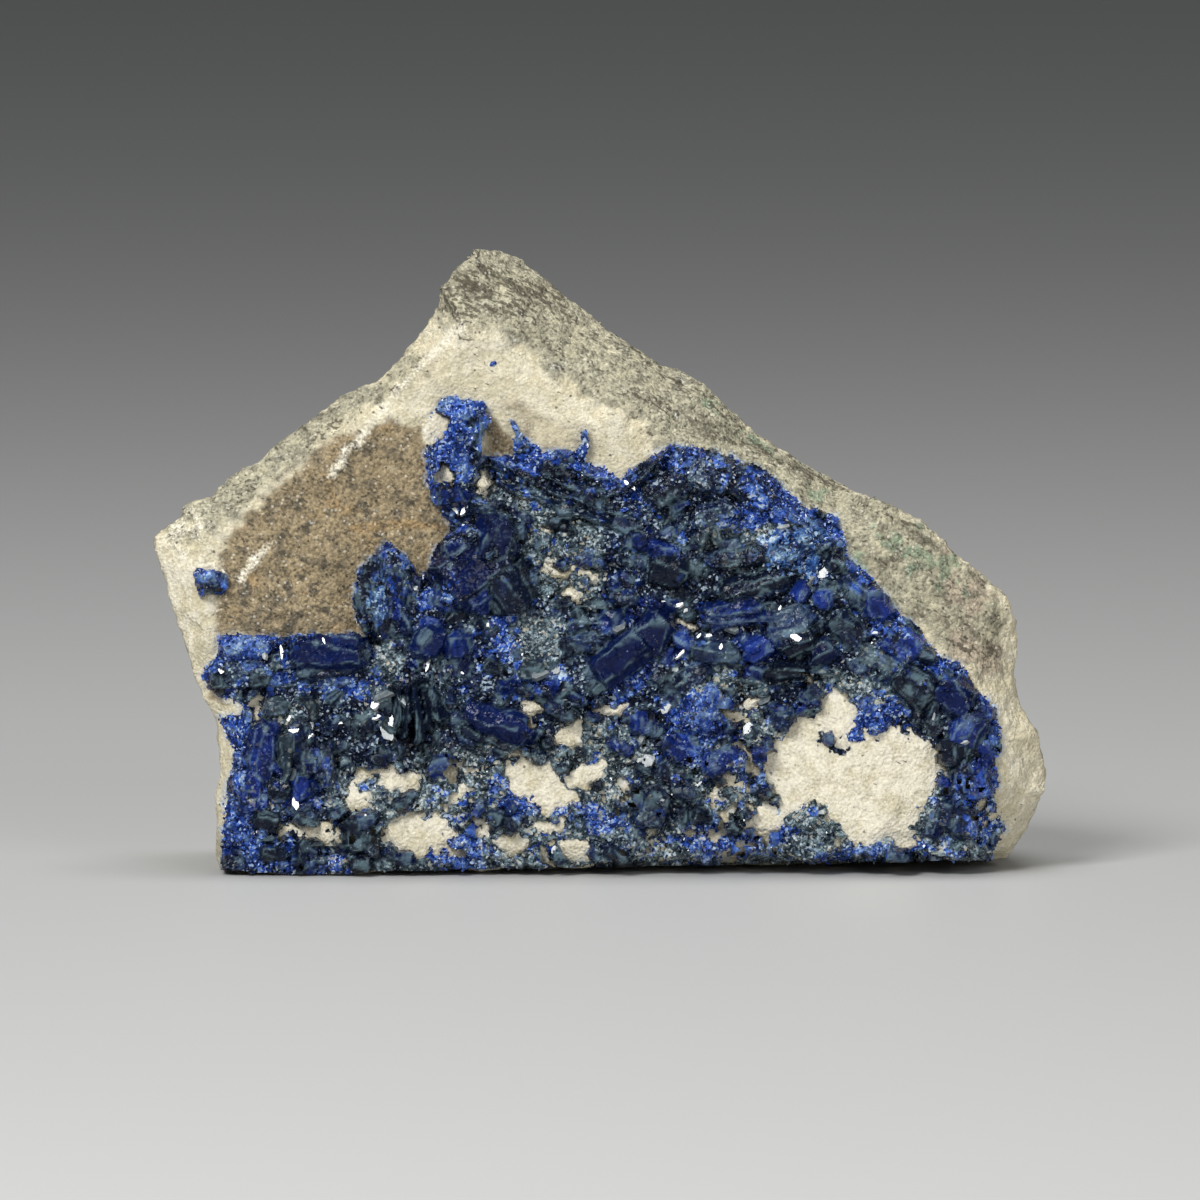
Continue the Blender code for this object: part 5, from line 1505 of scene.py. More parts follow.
@dataclass
class Crust:
    """The azurite over the front: a crust and the crystals that stand out of it.

    The surface is where the highest of all crystals shows, so they grow into each other as
    the real ones do. It is closed by a wall and a back inside the stone.

    Attributes:
        front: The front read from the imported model.
        step: Distance between its points, in millimetres.
        contact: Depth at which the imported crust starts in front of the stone.
        edge: Thickness at its border.
        heart: Thickness where it is thickest.
        root: How far its back lies inside the stone.
        ceiling: How far anything may stand towards the viewer.
        name: The piece's name.
        cover_of: Gives how far map points lie inside this piece.
        extent: Lowest and highest x, and lowest and highest z, of its map.
        blades: Its large crystals.
        ledges: Its layers.
        middling: How many places are tried for a crystal of middling size.
    """

    front: Front
    ceiling: float
    name: str = "azurite_crust_fine"
    cover_of: Callable = azurite_cover
    extent: tuple = (-40.9, 41.4, -0.35, 48.9)
    blades: tuple = tuple(BLADES)
    ledges: tuple = tuple(LEDGES)
    middling: int = 5200
    step: float = 0.168
    contact: float = 0.3
    edge: float = 0.22
    heart: float = 1.1
    root: float = 2.4

    def build(self) -> tuple[bpy.types.Object, bpy.types.Object]:
        """Builds the azurite and stores what its material reads.

        Returns:
            The closed crust, and its open front for the small crystals to grow on.
        """
        rng = np.random.default_rng(SEED)
        left, right, low, high = self.extent
        x, z = np.meshgrid(np.arange(left, right, self.step), np.arange(low, high, self.step))
        cover = self.cover_of(np.stack([x, z]))
        wanted = cover > -0.4
        stone = np.full(x.shape, np.nan)
        stone[wanted] = self.front.stone_y(x[wanted], z[wanted])
        wanted &= np.isfinite(stone)
        cells = whole_cells(wanted, cover)
        used = np.zeros(x.shape, bool)
        for up, across in itertools.product((0, 1), repeat=2):
            used[cells[:, 0] + up, cells[:, 1] + across] = True

        spots = np.stack([x, z])
        shares = self.habit_shares(spots)
        base = np.where(used, self.crust_top(spots, cover, shares, stone), NOWHERE)
        sheet = Sheet(x, z, used, base)
        self.lay_ledges(sheet, stone, cover)
        self.grow_medium(sheet, stone, cover, shares, rng)
        for number, blade in enumerate(self.blades):
            self.grow(sheet, blade, stone, np.random.default_rng([SEED, number]))
        self.finish_surface(sheet)

        jitter = rng.uniform(-0.22, 0.22, (2, *x.shape)) * self.step
        calm = np.where(sheet.polish > 0.5, 0.5, 1.0)
        flat = (spots + jitter * calm)[:, used]
        points = self.front.world(flat[0], -sheet.top[used], flat[1])
        points[:, 2] = np.maximum(points[:, 2], CRUST_FOOT * MM)
        numbers = np.full(x.shape, -1)
        numbers[used] = np.arange(used.sum())
        row, column = cells.T
        quads = np.stack(
            [numbers[row, column], numbers[row, column + 1],
             numbers[row + 1, column + 1], numbers[row + 1, column]], axis=1
        )
        values = self.surface_values(sheet, shares)
        open_mesh = mesh_of("azurite_front", points, quads.tolist())
        for name, field_values in values.items():
            note_values(open_mesh, name, field_values[used])
        back_depth = stone[used] + self.root
        closed = closed_sheet(self.name, points, quads, flat, back_depth, self.front)
        for name, field_values in values.items():
            spare = len(closed.vertices) - len(points)
            note_values(closed, name, np.append(field_values[used], np.zeros(spare)))
        return placed(self.name, closed), placed(f"{self.name}_front", open_mesh)

    def habit_shares(self, spots: np.ndarray) -> dict[Habit, np.ndarray]:
        """How strongly each habit shows at map points, from 0 to 1."""
        wander = spots + 1.1 * np.stack([cloudy(spots, 2.4, 91), cloudy(spots, 2.4, 93)])
        shares = {habit: np.zeros(spots.shape[1:]) for habit in Habit}
        for habit, ovals in PATCHES.items():
            for oval in ovals:
                near = smooth(-0.9, 0.9, oval_depth(wander, oval))
                shares[habit] = np.maximum(shares[habit], near)
        rim = 1.0 - smooth(0.2, 1.5, outline_depth(wander, AZURITE_OUTLINE))
        shares[ELECTRIC] = np.maximum(shares[ELECTRIC], 0.9 * rim)
        thin = smooth(14.0, 9.0, spots[1]) * smooth(-30.0, -26.0, spots[0])
        shares[GREY] = np.maximum(shares[GREY], 0.75 * thin)
        return shares

    def crust_top(
        self, spots: np.ndarray, cover: np.ndarray, shares: dict, stone: np.ndarray
    ) -> np.ndarray:
        """How far the crust between the crystals stands towards the viewer.

        Args:
            spots: Two layers of map coordinates.
            cover: Depth into the azurite at each point.
            shares: Share of each habit at each point.
            stone: World y of the stone.

        Returns:
            Minus the world y of the crust, in millimetres.
        """
        inner = smooth(0.0, 2.6, cover)
        upper = smooth(6.0, 22.0, spots[1])
        thin = np.maximum(shares[GREY], 0.6 * shares[ELECTRIC])
        body = self.edge + inner * (0.3 + (self.heart - 0.3) * upper) * (1.0 - 0.4 * thin)
        small, _ = facets(spots, 1.0, 0.5, 103)
        tiny, _ = facets(spots, 0.52, 0.62, 107)
        broad = 0.32 * cloudy(spots, 4.0, 97)
        relief = inner * (small * (1.0 - 0.5 * thin) + broad) + 0.5 * tiny
        rim = smooth(-0.15, 0.35, cover)
        thickness = rim * (body + relief + self.contact * inner) - (1.0 - rim) * 0.35
        return thickness - stone

    def lay_ledges(self, sheet: Sheet, stone: np.ndarray, cover: np.ndarray) -> None:
        """Lays the broken edges of the crystal layers."""
        spots = np.stack([sheet.x, sheet.z])
        wander = spots + 0.25 * np.stack([cloudy(spots, 2.0, 111), cloudy(spots, 2.0, 113)])
        for number, ledge in enumerate(self.ledges):
            away, above = run_sides(wander, ledge.run)
            fall = np.where(above, away / ledge.above, away / ledge.below)
            ends = smooth(0.0, 1.5, 3.0 - away)
            height = ledge.height * (1.0 - fall) * ends + 0.22 * ripple(spots, 1.3, 115 + number)
            top = np.where(fall < 1.0, height - stone, NOWHERE)
            top = np.where(cover > 0.3, top, NOWHERE)
            tint = hashed(np.array([[number]]), 5, 1)[0]
            marks = (list(Habit).index(ledge.habit), 0.45, tint, away, spots[0])
            whole = (slice(None), slice(None))
            sheet.lay(whole, top, np.abs(away) * 1.2, marks)

    def grow_medium(
        self, sheet: Sheet, stone: np.ndarray, cover: np.ndarray, shares: dict, rng: object
    ) -> None:
        """Grows the many crystals of middling size, of the habit of their patch.

        Args:
            sheet: The azurite so far.
            stone: World y of the stone.
            cover: Depth into the azurite.
            shares: Share of each habit.
            rng: Source of places and sizes.
        """
        grain = np.array(GRAIN)
        lengths = {
            DARK: (1.2, 3.2), INDIGO: (1.4, 3.4), ELECTRIC: (0.6, 1.5),
            SKY: (0.9, 2.4), GREY: (0.5, 1.3),
        }
        left, right, low, high = self.extent
        for _ in range(self.middling):
            x = rng.uniform(left, right)
            z = rng.uniform(low, high)
            column = int((x - sheet.x[0, 0]) / self.step)
            row = int((z - sheet.z[0, 0]) / self.step)
            chances = rng.uniform(0.0, 1.0, 4)
            shape = rng.uniform(0.0, 1.0, 5)
            bend = rng.normal(0.0, 1.0, 3)
            column = min(column, sheet.used.shape[1] - 1)
            row = min(row, sheet.used.shape[0] - 1)
            if not sheet.used[row, column] or cover[row, column] < 0.35:
                continue
            here = {habit: share[row, column] for habit, share in shares.items()}
            here[DARK] += 0.35
            here[INDIGO] += 0.15
            habits = list(here)
            weights = np.cumsum([here[habit] for habit in habits])
            habit = habits[int(np.searchsorted(weights, chances[0] * weights[-1]))]
            shortest, longest = lengths[habit]
            length = shortest + (longest - shortest) * shape[0] ** 1.8
            length = min(length, 0.6 + 1.6 * cover[row, column])
            small_chance = 0.35 if habit in (DARK, INDIGO) else 1.0
            if chances[1] > small_chance:
                continue
            near = np.argmin(np.hypot(grain[:, 0] - x, grain[:, 1] - z))
            slim = 0.35 if habit is SKY else 0.45 + 0.4 * shape[1]
            blade = Blade(
                habit, x, z, length, length * slim, length * (0.5 + 0.4 * shape[2]),
                0.25 + 0.35 * shape[3] + 0.12 * length, grain[near, 2] + 22.0 * bend[0],
                9.0 * bend[1], 15.0 * bend[2], 1, 0.2 + 0.7 * (length > 1.3),
            )
            self.grow(sheet, blade, stone, rng)

    def grow(self, sheet: Sheet, blade: Blade, stone: np.ndarray, rng: object) -> None:
        """Adds one crystal as parallel plies of slightly different sizes.

        Args:
            sheet: The azurite so far.
            blade: The crystal.
            stone: World y of the stone.
            rng: Source of its small differences.
        """
        column = int(round((blade.x - sheet.x[0, 0]) / self.step))
        row = int(round((blade.z - sheet.z[0, 0]) / self.step))
        depth = stone[row, column]
        if not np.isfinite(depth):
            return
        frame = np.array(blade_frame(blade.turn, blade.tilt, blade.roll))
        local, distances = crystal_planes(blade, rng)
        habit = list(Habit).index(blade.habit)
        lowest = depth - self.contact - blade.rise
        for ply in range(blade.plies):
            shrink = rng.uniform(0.5, 0.85) if ply else 1.0
            offset = rng.uniform(-0.5, 0.5, 3) * (1.0 if ply else 0.0)
            offset *= (blade.length * (1.0 - shrink), blade.width * 0.9, 0.0)
            offset[2] = blade.height * rng.uniform(-0.10, 0.14) if ply else 0.0
            middle = frame @ offset
            normals = local @ frame.T
            facing = -normals[:, 1]
            kept = facing > -0.25
            facing = np.maximum(facing[kept], 0.16)
            reach = 0.5 * math.hypot(blade.length, blade.width) + 0.3
            part = sheet.window(blade.x + middle[0], blade.z + middle[2], reach)
            across = sheet.x[part] + sheet.bend[0][part] - blade.x - middle[0]
            up = sheet.z[part] + sheet.bend[1][part] - blade.z - middle[2]
            if not across.size:
                return
            slope_x = (normals[kept, 0] / facing)[:, None, None]
            slope_z = (normals[kept, 2] / facing)[:, None, None]
            level = (distances[kept] * shrink / facing)[:, None, None]
            faces = np.sort(level - slope_x * across - slope_z * up, axis=0)
            height = faces[0] - lowest - middle[1]
            height = np.where(sheet.used[part], height, NOWHERE)
            tint = rng.uniform(0.0, 1.0) + blade.shade
            side = frame[0, 1] * across + frame[2, 1] * up
            run = frame[0, 0] * across + frame[2, 0] * up
            marks = (habit, blade.polish, tint, side, run)
            sheet.lay(part, height, faces[1] - faces[0], marks)

    def finish_surface(self, sheet: Sheet) -> None:
        """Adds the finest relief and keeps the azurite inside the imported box."""
        spots = np.stack([sheet.x, sheet.z])
        tiny, _ = facets(spots, 0.45, 0.6, 121)
        rough = np.where(sheet.habit >= 0, 0.30 * (1.0 - sheet.polish), 0.38)
        overgrown = smooth(0.10, 0.42, cloudy(spots, 1.9, 123)) * smooth(1.0, 0.75, sheet.polish)
        rough = np.maximum(rough, 0.34 * overgrown)
        chipped, _ = facets(spots, 1.6, 0.16, 131)
        sheet.top = sheet.top + sheet.polish * (chipped + 0.04 * cloudy(spots, 0.9, 133, 2))
        sheet.polish *= 1.0 - overgrown
        sheet.top = sheet.top + rough * tiny
        sheet.top = np.minimum(sheet.top, self.ceiling)

    def surface_values(self, sheet: Sheet, shares: dict) -> dict:
        """What the material reads at each point.

        Args:
            sheet: The finished surface.
            shares: Share of each habit of the crust.

        Returns:
            Name and values of each attribute, over the whole grid.
        """
        values = {}
        for number, habit in enumerate(Habit):
            owned = np.where(sheet.habit == number, 1.0, 0.0)
            crystal = sheet.habit >= 0
            trust = np.where(crystal, 0.25 + 0.6 * sheet.polish, 0.0)
            values[habit.value] = trust * owned + (1.0 - trust) * shares[habit]
        # Near crystal edges and seams, which the material paints pale as an edge highlight.
        ridge = np.minimum(sheet.facing, 0.8 * (sheet.top - sheet.second))
        values["outline"] = 1.0 - smooth(0.03, 0.22, ridge)
        values["polish"] = sheet.polish
        values["tint"] = sheet.tint
        values["side"] = sheet.side
        values["run"] = sheet.run
        # Mask of the painted shade in recesses.
        values["recess_shade"] = self.recess_shade_of(sheet)
        return values

    def recess_shade_of(self, sheet: Sheet) -> np.ndarray:
        """Where the surface lies deeper than what is around it, from 0 to 1, which is where the
        material darkens the colour as painted shade in recesses.
        """
        top = np.where(sheet.used, sheet.top, np.nan)
        around = np.zeros(top.shape)
        counted = np.zeros(top.shape)
        for up, right in itertools.product((-5, 0, 5), repeat=2):
            moved = np.roll(top, (up, right), (0, 1))
            around += np.nan_to_num(moved)
            counted += np.isfinite(moved)
        mean = around / np.maximum(counted, 1.0)
        return smooth(0.05, 0.9, mean - sheet.top)


def whole_cells(wanted: np.ndarray, cover: np.ndarray) -> np.ndarray:
    """Grid cells that the azurite covers, with no two that touch only at a corner.

    Args:
        wanted: Which grid points may be used.
        cover: Depth into the azurite at each point.

    Returns:
        Row and column of each cell.
    """
    able = wanted[:-1, :-1] & wanted[1:, :-1] & wanted[:-1, 1:] & wanted[1:, 1:]
    mean = (cover[:-1, :-1] + cover[1:, :-1] + cover[:-1, 1:] + cover[1:, 1:]) / 4
    cells = able & (mean > 0.0)
    for _ in range(6):
        left_low = cells[:-1, :-1]
        left_high = cells[1:, :-1]
        right_low = cells[:-1, 1:]
        right_high = cells[1:, 1:]
        rising = left_low & right_high & ~left_high & ~right_low
        falling = left_high & right_low & ~left_low & ~right_high
        if not (rising | falling).any():
            break
        cells[1:, :-1] &= ~falling
        cells[:-1, :-1] &= ~rising
    return np.argwhere(cells)


def closed_sheet(
    name: str,
    points: np.ndarray,
    quads: np.ndarray,
    flat: np.ndarray,
    back_depth: np.ndarray,
    front: Front,
) -> bpy.types.Mesh:
    """Closes an open sheet with a wall along its border and a coarse back.

    Args:
        name: The mesh's name.
        points: The sheet's points in metres.
        quads: Its faces, seen from the front against the clock.
        flat: Map coordinates of its points.
        back_depth: World y of the back behind each point, in millimetres.
        front: The front, for turning map points into places in space.

    Returns:
        The closed mesh, whose first points are the sheet's.
    """
    count = len(points)
    starts = quads.ravel()
    ends = np.roll(quads, -1, axis=1).ravel()
    forward = starts * count + ends
    border = ~np.isin(forward, ends * count + starts)
    border_starts = starts[border]
    border_ends = ends[border]
    ring = np.unique(border_starts)
    place_in_ring = np.full(count, -1)
    place_in_ring[ring] = np.arange(len(ring))
    inner = np.arange(0, count, 97)
    inner = inner[~np.isin(inner, ring)]
    chosen = np.concatenate([ring, inner])
    coords = [Vector((flat[0, i], flat[1, i])) for i in chosen]
    edges = list(zip(place_in_ring[border_starts].tolist(), place_in_ring[border_ends].tolist()))
    found = geometry.delaunay_2d_cdt(coords, edges, [], 0, 1e-7)
    origin = [min(listed) for listed in found[3]]
    triangles = [[origin[corner] for corner in face] for face in found[2]]
    by_edge = {}
    for number, triangle in enumerate(triangles):
        for i in range(3):
            by_edge[triangle[i], triangle[(i + 1) % 3]] = number
    fence = set(edges)
    inside = {by_edge[edge] for edge in fence if edge in by_edge}
    waiting = list(inside)
    while waiting:
        triangle = triangles[waiting.pop()]
        for i in range(3):
            edge = (triangle[i], triangle[(i + 1) % 3])
            beyond = by_edge.get((edge[1], edge[0]))
            if edge in fence or beyond is None or beyond in inside:
                continue
            inside.add(beyond)
            waiting.append(beyond)
    back = front.world(flat[0, chosen], back_depth[chosen], flat[1, chosen])
    back[:, 2] = np.maximum(back[:, 2], CRUST_FOOT * MM)
    walls = np.stack(
        [border_ends, border_starts, count + place_in_ring[border_starts],
         count + place_in_ring[border_ends]], axis=1
    )
    faces = quads.tolist() + walls.tolist()
    faces += [[count + corner for corner in reversed(triangles[i])] for i in sorted(inside)]
    return mesh_of(name, np.concatenate([points, back]), faces)


def scatter_tree() -> bpy.types.NodeTree:
    """Geometry nodes that grow one crystal shape all over a ground."""
    tree = bpy.data.node_groups.new("scattered_crystals", "GeometryNodeTree")
    entries = (
        ("Ground", "NodeSocketGeometry"), ("Crystal", "NodeSocketObject"),
        ("Share Name", "NodeSocketString"), ("Spacing", "NodeSocketFloat"),
        ("Density", "NodeSocketFloat"), ("Smallest", "NodeSocketFloat"),
        ("Largest", "NodeSocketFloat"), ("Lean", "NodeSocketFloat"),
        ("Seed", "NodeSocketInt"), ("Material", "NodeSocketMaterial"),
    )
    for title, kind in entries:
        tree.interface.new_socket(title, in_out="INPUT", socket_type=kind)
    tree.interface.new_socket("Crystals", in_out="OUTPUT", socket_type="NodeSocketGeometry")
    web = Web(tree)
    entry = web.add("NodeGroupInput").outputs
    leave = web.add("NodeGroupOutput")
    share = web.add("GeometryNodeInputNamedAttribute", data_type="FLOAT")
    web.feed(share.inputs["Name"], entry["Share Name"])
    points = web.add("GeometryNodeDistributePointsOnFaces", distribute_method="POISSON")
    web.feed(points.inputs["Mesh"], entry["Ground"])
    web.feed(points.inputs["Distance Min"], entry["Spacing"])
    web.feed(points.inputs["Density Max"], entry["Density"])
    polish = web.add("GeometryNodeInputNamedAttribute", data_type="FLOAT")
    polish.inputs["Name"].default_value = "polish"
    rough = web.math("SUBTRACT", 1.0, polish.outputs[0], clamp=True)
    room = web.times(rough, web.math("POWER", share.outputs[0], 2.0))
    web.feed(points.inputs["Density Factor"], room)
    web.feed(points.inputs["Seed"], entry["Seed"])

    back = web.times(entry["Lean"], -1.0)
    least = web.add("ShaderNodeCombineXYZ")
    most = web.add("ShaderNodeCombineXYZ")
    for axis in ("X", "Y"):
        web.feed(least.inputs[axis], back)
        web.feed(most.inputs[axis], entry["Lean"])
    most.inputs["Z"].default_value = 2.0 * math.pi
    turn = web.add("FunctionNodeRandomValue", data_type="FLOAT_VECTOR")
    web.feed(turn.inputs[0], least.outputs[0])
    web.feed(turn.inputs[1], most.outputs[0])
    web.feed(turn.inputs["Seed"], entry["Seed"])
    euler = web.add("FunctionNodeEulerToRotation")
    web.feed(euler.inputs[0], turn.outputs[0])
    rotated = web.add("FunctionNodeRotateRotation", rotation_space="LOCAL")
    web.feed(rotated.inputs[0], points.outputs["Rotation"])
    web.feed(rotated.inputs[1], euler.outputs[0])

    size = web.add("FunctionNodeRandomValue", data_type="FLOAT")
    web.feed(size.inputs[2], entry["Smallest"])
    web.feed(size.inputs[3], entry["Largest"])
    stretch = web.add("FunctionNodeRandomValue", data_type="FLOAT_VECTOR")
    stretch.inputs[0].default_value = (0.7, 0.7, 0.7)
    stretch.inputs[1].default_value = (1.3, 1.1, 1.2)
    scale = web.add("ShaderNodeVectorMath", operation="SCALE")
    web.feed(scale.inputs[0], stretch.outputs[0])
    web.feed(scale.inputs["Scale"], size.outputs[1])
    crystal = web.add("GeometryNodeObjectInfo")
    web.feed(crystal.inputs["Object"], entry["Crystal"])
    grown = web.add("GeometryNodeInstanceOnPoints")
    web.feed(grown.inputs["Points"], points.outputs["Points"])
    web.feed(grown.inputs["Instance"], crystal.outputs["Geometry"])
    web.feed(grown.inputs["Rotation"], rotated.outputs[0])
    web.feed(grown.inputs["Scale"], scale.outputs[0])
    number = web.add("FunctionNodeRandomValue", data_type="FLOAT")
    number.inputs["Seed"].default_value = 5
    marked = web.add("GeometryNodeStoreNamedAttribute", data_type="FLOAT", domain="INSTANCE")
    web.feed(marked.inputs["Geometry"], grown.outputs[0])
    marked.inputs["Name"].default_value = "tint"
    web.feed(marked.inputs["Value"], number.outputs[1])
    real = web.add("GeometryNodeRealizeInstances")
    web.feed(real.inputs[0], marked.outputs[0])
    coated = web.add("GeometryNodeSetMaterial")
    web.feed(coated.inputs["Geometry"], real.outputs[0])
    web.feed(coated.inputs["Material"], entry["Material"])
    web.feed(leave.inputs[0], coated.outputs[0])
    return tree


def small_crystal() -> bpy.types.Object:
    """One low-poly bladed crystal about a millimetre long, standing on its origin."""
    planes = [
        (1.0, 0.0, 0.04, 0.24), (-1.0, 0.0, 0.04, 0.24), (0.0, 1.0, 0.04, 0.17),
        (0.0, -1.0, 0.04, 0.17), (0.75, 0.0, 0.65, 0.40), (-0.45, 0.45, 0.78, 0.46),
        (0.2, -0.8, 0.6, 0.38), (0.0, 0.0, -1.0, 0.22),
    ]
    normals = np.array([plane[:3] for plane in planes])
    reach = np.array([plane[3] for plane in planes])
    lengths = np.linalg.norm(normals, axis=1)
    corners = crystal_corners(normals / lengths[:, None], reach / lengths)
    shape = bmesh.new()
    made = [shape.verts.new(Vector(corner) * MM) for corner in corners]
    bmesh.ops.convex_hull(shape, input=made)
    flat = math.radians(0.5)
    bmesh.ops.dissolve_limit(shape, angle_limit=flat, verts=shape.verts, edges=shape.edges)
    bmesh.ops.recalc_face_normals(shape, faces=shape.faces)
    mesh = bpy.data.meshes.new("small_crystal")
    shape.to_mesh(mesh)
    shape.free()
    return placed("small_crystal", mesh)


@dataclass(frozen=True)
class Druse:
    """Small crystals of one habit scattered over the crust.

    Attributes:
        habit: Which patches they grow on.
        spacing: Least distance between two of them, in millimetres.
        density: Most of them on a square millimetre.
        smallest: Length of the smallest, in millimetres.
        largest: Length of the largest.
        lean: How far they lean from upright, in radians.
        seed: The scatter's own number.
        lightest: How pale the palest of them are.
    """

    habit: Habit
    spacing: float
    density: float
    smallest: float
    largest: float
    lean: float
    seed: int
    lightest: float

    def build(
        self, ground: bpy.types.Object, crystal: bpy.types.Object, tree: bpy.types.NodeTree,
        material: bpy.types.Material, ceiling: float,
    ) -> bpy.types.Object:
        """Scatters the crystals and keeps them as a plain mesh.

        Args:
            ground: The open front of the crust.
            crystal: The shape to repeat.
            tree: The scattering nodes.
            material: The crystals' material.
            ceiling: How far anything may stand towards the viewer, in millimetres.

        Returns:
            The crystals as one object.
        """
        carrier = placed(f"druse_{self.habit.value}_carrier", ground.data.copy())
        growth = carrier.modifiers.new("growth", "NODES")
        growth.node_group = tree
        wanted = {
            "Crystal": crystal, "Share Name": self.habit.value, "Spacing": self.spacing * MM,
            "Density": self.density / MM**2, "Smallest": self.smallest, "Largest": self.largest,
            "Lean": self.lean, "Seed": self.seed, "Material": material,
        }
        for socket in tree.interface.items_tree:
            if socket.in_out == "INPUT" and socket.name in wanted:
                growth[socket.identifier] = wanted[socket.name]
        graph = bpy.context.evaluated_depsgraph_get()
        mesh = bpy.data.meshes.new_from_object(carrier.evaluated_get(graph))
        bpy.data.objects.remove(carrier, do_unlink=True)
        corners = points_of(mesh)
        corners[:, 1] = np.maximum(corners[:, 1], -ceiling * MM)
        corners[:, 2] = np.maximum(corners[:, 2], DRUSE_FOOT * MM)
        mesh.vertices.foreach_set("co", corners.astype(np.float32).ravel())
        mesh.update()
        return placed(f"azurite_druse_{self.habit.value}", mesh)


DRUSES = (
    Druse(ELECTRIC, 0.26, 8.0, 0.24, 0.58, 0.8, 21, 0.88),
    Druse(DARK, 0.38, 3.6, 0.26, 0.66, 0.9, 22, 0.64),
    Druse(INDIGO, 0.42, 3.0, 0.28, 0.70, 0.9, 23, 0.74),
    Druse(GREY, 0.32, 4.4, 0.20, 0.46, 0.9, 24, 0.84),
    Druse(SKY, 0.34, 5.0, 0.30, 0.75, 0.8, 25, 0.84),
)


@dataclass
class Flakes:
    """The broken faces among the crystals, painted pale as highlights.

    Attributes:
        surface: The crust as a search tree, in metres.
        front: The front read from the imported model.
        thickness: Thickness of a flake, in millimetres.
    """

    surface: BVHTree
    front: Front
    thickness: float = 0.5

    def build(self) -> bpy.types.Object:
        """Builds every flake as one mesh."""
        shape = bmesh.new()
        tint = shape.verts.layers.float.new("tint")
        rng = np.random.default_rng(SEED + 1)
        for flake in FLAKES:
            self.add(shape, tint, flake, rng)
        bmesh.ops.recalc_face_normals(shape, faces=shape.faces)
        mesh = bpy.data.meshes.new("azurite_flakes")
        shape.to_mesh(mesh)
        shape.free()
        return placed("azurite_flakes", mesh)

    def add(self, shape: bmesh.types.BMesh, tint: object, flake: Flake, rng: object) -> None:
        """Adds one flake, turned so that it throws the main light to the viewer."""
        sight = Vector((0.0, 1.0, -SIGHT_SLOPE)).normalized()
        start = Vector(self.front.world(np.float64(flake.x), np.float64(-60.0), np.float64(flake.z)))
        hit = self.surface.ray_cast(start, sight)[0]
        if hit is None:
            return
        spread = 0.04 + 0.22 * (1.0 - flake.bright)
        facing = Vector((-0.25, -0.88, 0.40)) + Vector(rng.normal(0.0, spread, 3))
        facing.normalize()
        turned = math.radians(flake.turn)
        along = Vector((math.cos(turned), 0.0, math.sin(turned)))
        along = (along - along.dot(facing) * facing).normalized()
        across = facing.cross(along)
        sides = int(rng.integers(5, 8))
        angles = np.sort(rng.uniform(0.0, 2.0 * math.pi / sides, sides)
                         + 2.0 * math.pi * np.arange(sides) / sides)
        top = []
        low = []
        for angle in angles:
            offset = along * (0.5 * flake.length * math.cos(angle))
            offset += across * (0.5 * flake.width * math.sin(angle))
            rim = hit + (offset + facing * 0.12) * MM
            top.append(shape.verts.new(rim))
            low.append(shape.verts.new(rim - facing * self.thickness * MM))
        # Brightness stored for the material, which paints the brighter flakes paler as a highlight.
        for vert in top + low:
            vert[tint] = flake.bright
        shape.faces.new(top)
        shape.faces.new(list(reversed(low)))
        for i in range(sides):
            j = (i + 1) % sides
            shape.faces.new((top[j], top[i], low[i], low[j]))


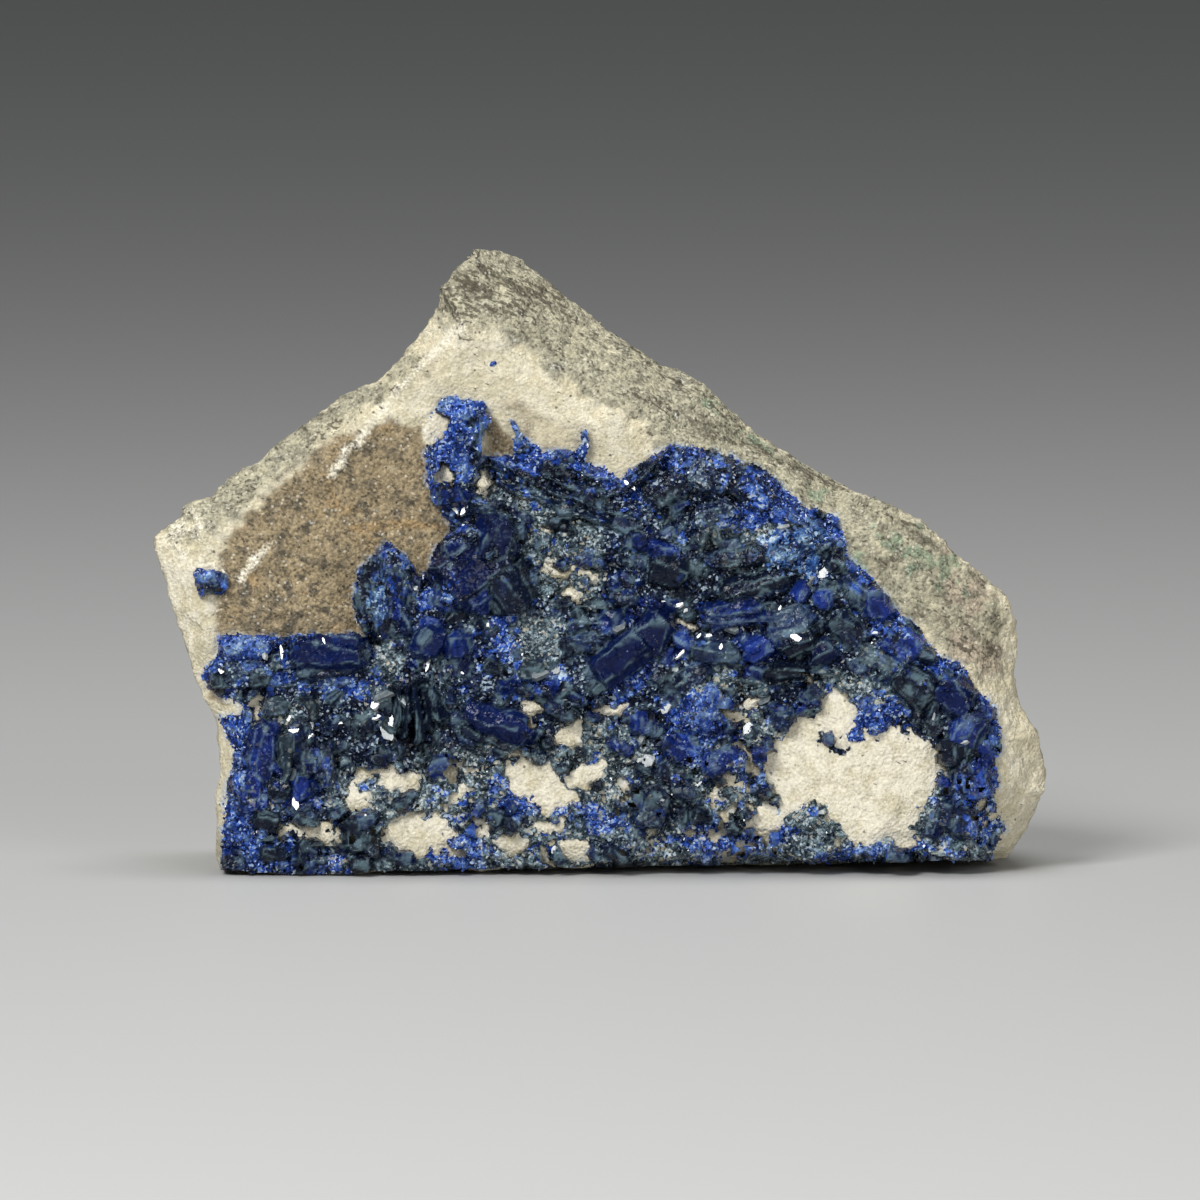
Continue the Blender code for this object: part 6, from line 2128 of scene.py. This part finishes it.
@dataclass
class Studio:
    """Camera, lights, floor and backdrop.

    Attributes:
        distance: From the camera to the front of the object, in metres.
        view_width: Width that the picture takes in there, in metres.
        aim_height: Height of the picture's middle on the map, in millimetres.
    """

    distance: float = 2.4
    view_width: float = 0.120
    aim_height: float = 27.7

    def build(self) -> None:
        """Places everything."""
        self.add_camera()
        self.add_floor()
        self.add_light("key", (-0.34, -0.66, 0.62), (0.34, 0.34), 7.6)
        self.add_light("fill", (0.42, -0.70, 0.26), (0.40, 0.40), 2.0)
        self.add_light("top", (0.00, 0.05, 0.70), (0.50, 0.30), 2.6)
        world = bpy.data.worlds.new("studio")
        world.use_nodes = True
        background = world.node_tree.nodes["Background"]
        background.inputs["Color"].default_value = (0.75, 0.78, 0.82, 1.0)
        background.inputs["Strength"].default_value = 0.12
        bpy.context.scene.world = world
        bpy.context.scene.view_settings.view_transform = "Standard"

    def add_camera(self) -> None:
        """A long lens that looks slightly down on the front."""
        data = bpy.data.cameras.new("camera")
        data.sensor_width = 36.0
        data.lens = 36.0 * self.distance / self.view_width
        data.clip_start = 0.01
        camera = bpy.data.objects.new("camera", data)
        bpy.context.scene.collection.objects.link(camera)
        down = math.radians(SIGHT_DEGREES)
        sight = Vector((0.0, math.cos(down), -math.sin(down)))
        target = Vector((0.0, LIP_Y * MM, self.aim_height * MM))
        camera.location = target - sight * self.distance
        camera.rotation_euler = sight.to_track_quat("-Z", "Y").to_euler()
        bpy.context.scene.camera = camera

    def add_floor(self) -> None:
        """A pale floor that curves up into a backdrop."""
        reach = 3.0
        radius = 0.8
        profile = [(-reach - radius, 0.0), (reach, 0.0)]
        for i in range(1, 17):
            angle = math.radians(90.0 * i / 16)
            profile.append((reach + radius * math.sin(angle), radius * (1.0 - math.cos(angle))))
        profile.append((reach + radius, 3.0))
        corners = np.array([(x, y, z) for y, z in profile for x in (-4.0, 4.0)])
        faces = [(2 * i, 2 * i + 1, 2 * i + 3, 2 * i + 2) for i in range(len(profile) - 1)]
        mesh = mesh_of("floor", corners, faces)
        mesh.shade_smooth()
        floor = placed("floor", mesh)
        paint = bpy.data.materials.new("floor_paint")
        paint.use_nodes = True
        shader = paint.node_tree.nodes["Principled BSDF"]
        shader.inputs["Base Color"].default_value = (0.50, 0.50, 0.49, 1.0)
        shader.inputs["Roughness"].default_value = 0.55
        mesh.materials.append(paint)

    def add_light(self, name: str, where: tuple, size: tuple, power: float) -> None:
        """A rectangular softbox that faces the object.

        Args:
            name: The light's name.
            where: Its place in metres.
            size: Its width and height in metres.
            power: Its power in watts.
        """
        data = bpy.data.lights.new(name, "AREA")
        data.shape = "RECTANGLE"
        data.size, data.size_y = size
        data.energy = power
        lamp = bpy.data.objects.new(name, data)
        bpy.context.scene.collection.objects.link(lamp)
        lamp.location = where
        aim = Vector((0.0, 0.0, 0.028)) - Vector(where)
        lamp.rotation_euler = aim.to_track_quat("-Z", "Y").to_euler()


def dress(piece: bpy.types.Object, material: bpy.types.Material) -> None:
    """Gives a piece its material in a single slot and the body that it rides on."""
    piece.data.materials.clear()
    piece.data.materials.append(material)
    piece.data.polygons.foreach_set("material_index", [0] * len(piece.data.polygons))
    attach(piece, "root")
    LOG.info("%s: %d faces", piece.name, len(piece.data.polygons))


def main() -> None:
    """Builds every piece in order."""
    logging.basicConfig(level=logging.INFO, format="%(message)s")
    for old in list(bpy.data.objects):
        bpy.data.objects.remove(old, do_unlink=True)
    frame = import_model()
    nodes = frame["nodes"]
    Studio().build()

    packed_stone = merged_copy(nodes["sandstone_matrix"])
    polygons = [tuple(polygon.vertices) for polygon in packed_stone.polygons]
    corners = [vertex.co.copy() for vertex in packed_stone.vertices]
    front = Front(BVHTree.FromPolygons(corners, polygons))
    faceting = facet_group()

    slab = StoneSlab(front).build(nodes["sandstone_matrix"])
    dress(slab, SandstoneFinish().build())
    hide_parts("sandstone_matrix")

    ceiling = -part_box("azurite_crust")[0][1] / MM
    coat = CrustFinish().build(faceting)
    crust, ground = Crust(front, ceiling).build()
    dress(crust, coat)
    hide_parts("azurite_crust")

    patch, patch_ground = Crust(
        front, ceiling, "azurite_side_patch_fine", side_cover, (-41.4, -36.6, 27.4, 31.8), (), (), 260
    ).build()
    dress(patch, coat)
    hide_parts("azurite_side_patch")
    speck, speck_ground = Crust(
        front, ceiling, "azurite_speck_fine", speck_cover, (-11.9, -9.5, 50.4, 52.4), (), (), 40, 0.11
    ).build()
    dress(speck, coat)
    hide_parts("azurite_speck")

    crystal = small_crystal()
    tree = scatter_tree()
    for druse in DRUSES:
        material = GrainFinish(druse.habit, druse.lightest).build()
        dress(druse.build(ground, crystal, tree, material, ceiling), material)
    shown = [tuple(face.vertices) for face in ground.data.polygons]
    surface = BVHTree.FromPolygons([vertex.co for vertex in ground.data.vertices], shown)
    dress(Flakes(surface, front).build(), FlakeFinish().build())
    for spare in (ground, patch_ground, speck_ground, crystal):
        bpy.data.objects.remove(spare, do_unlink=True)


if __name__ == "__main__":
    main()
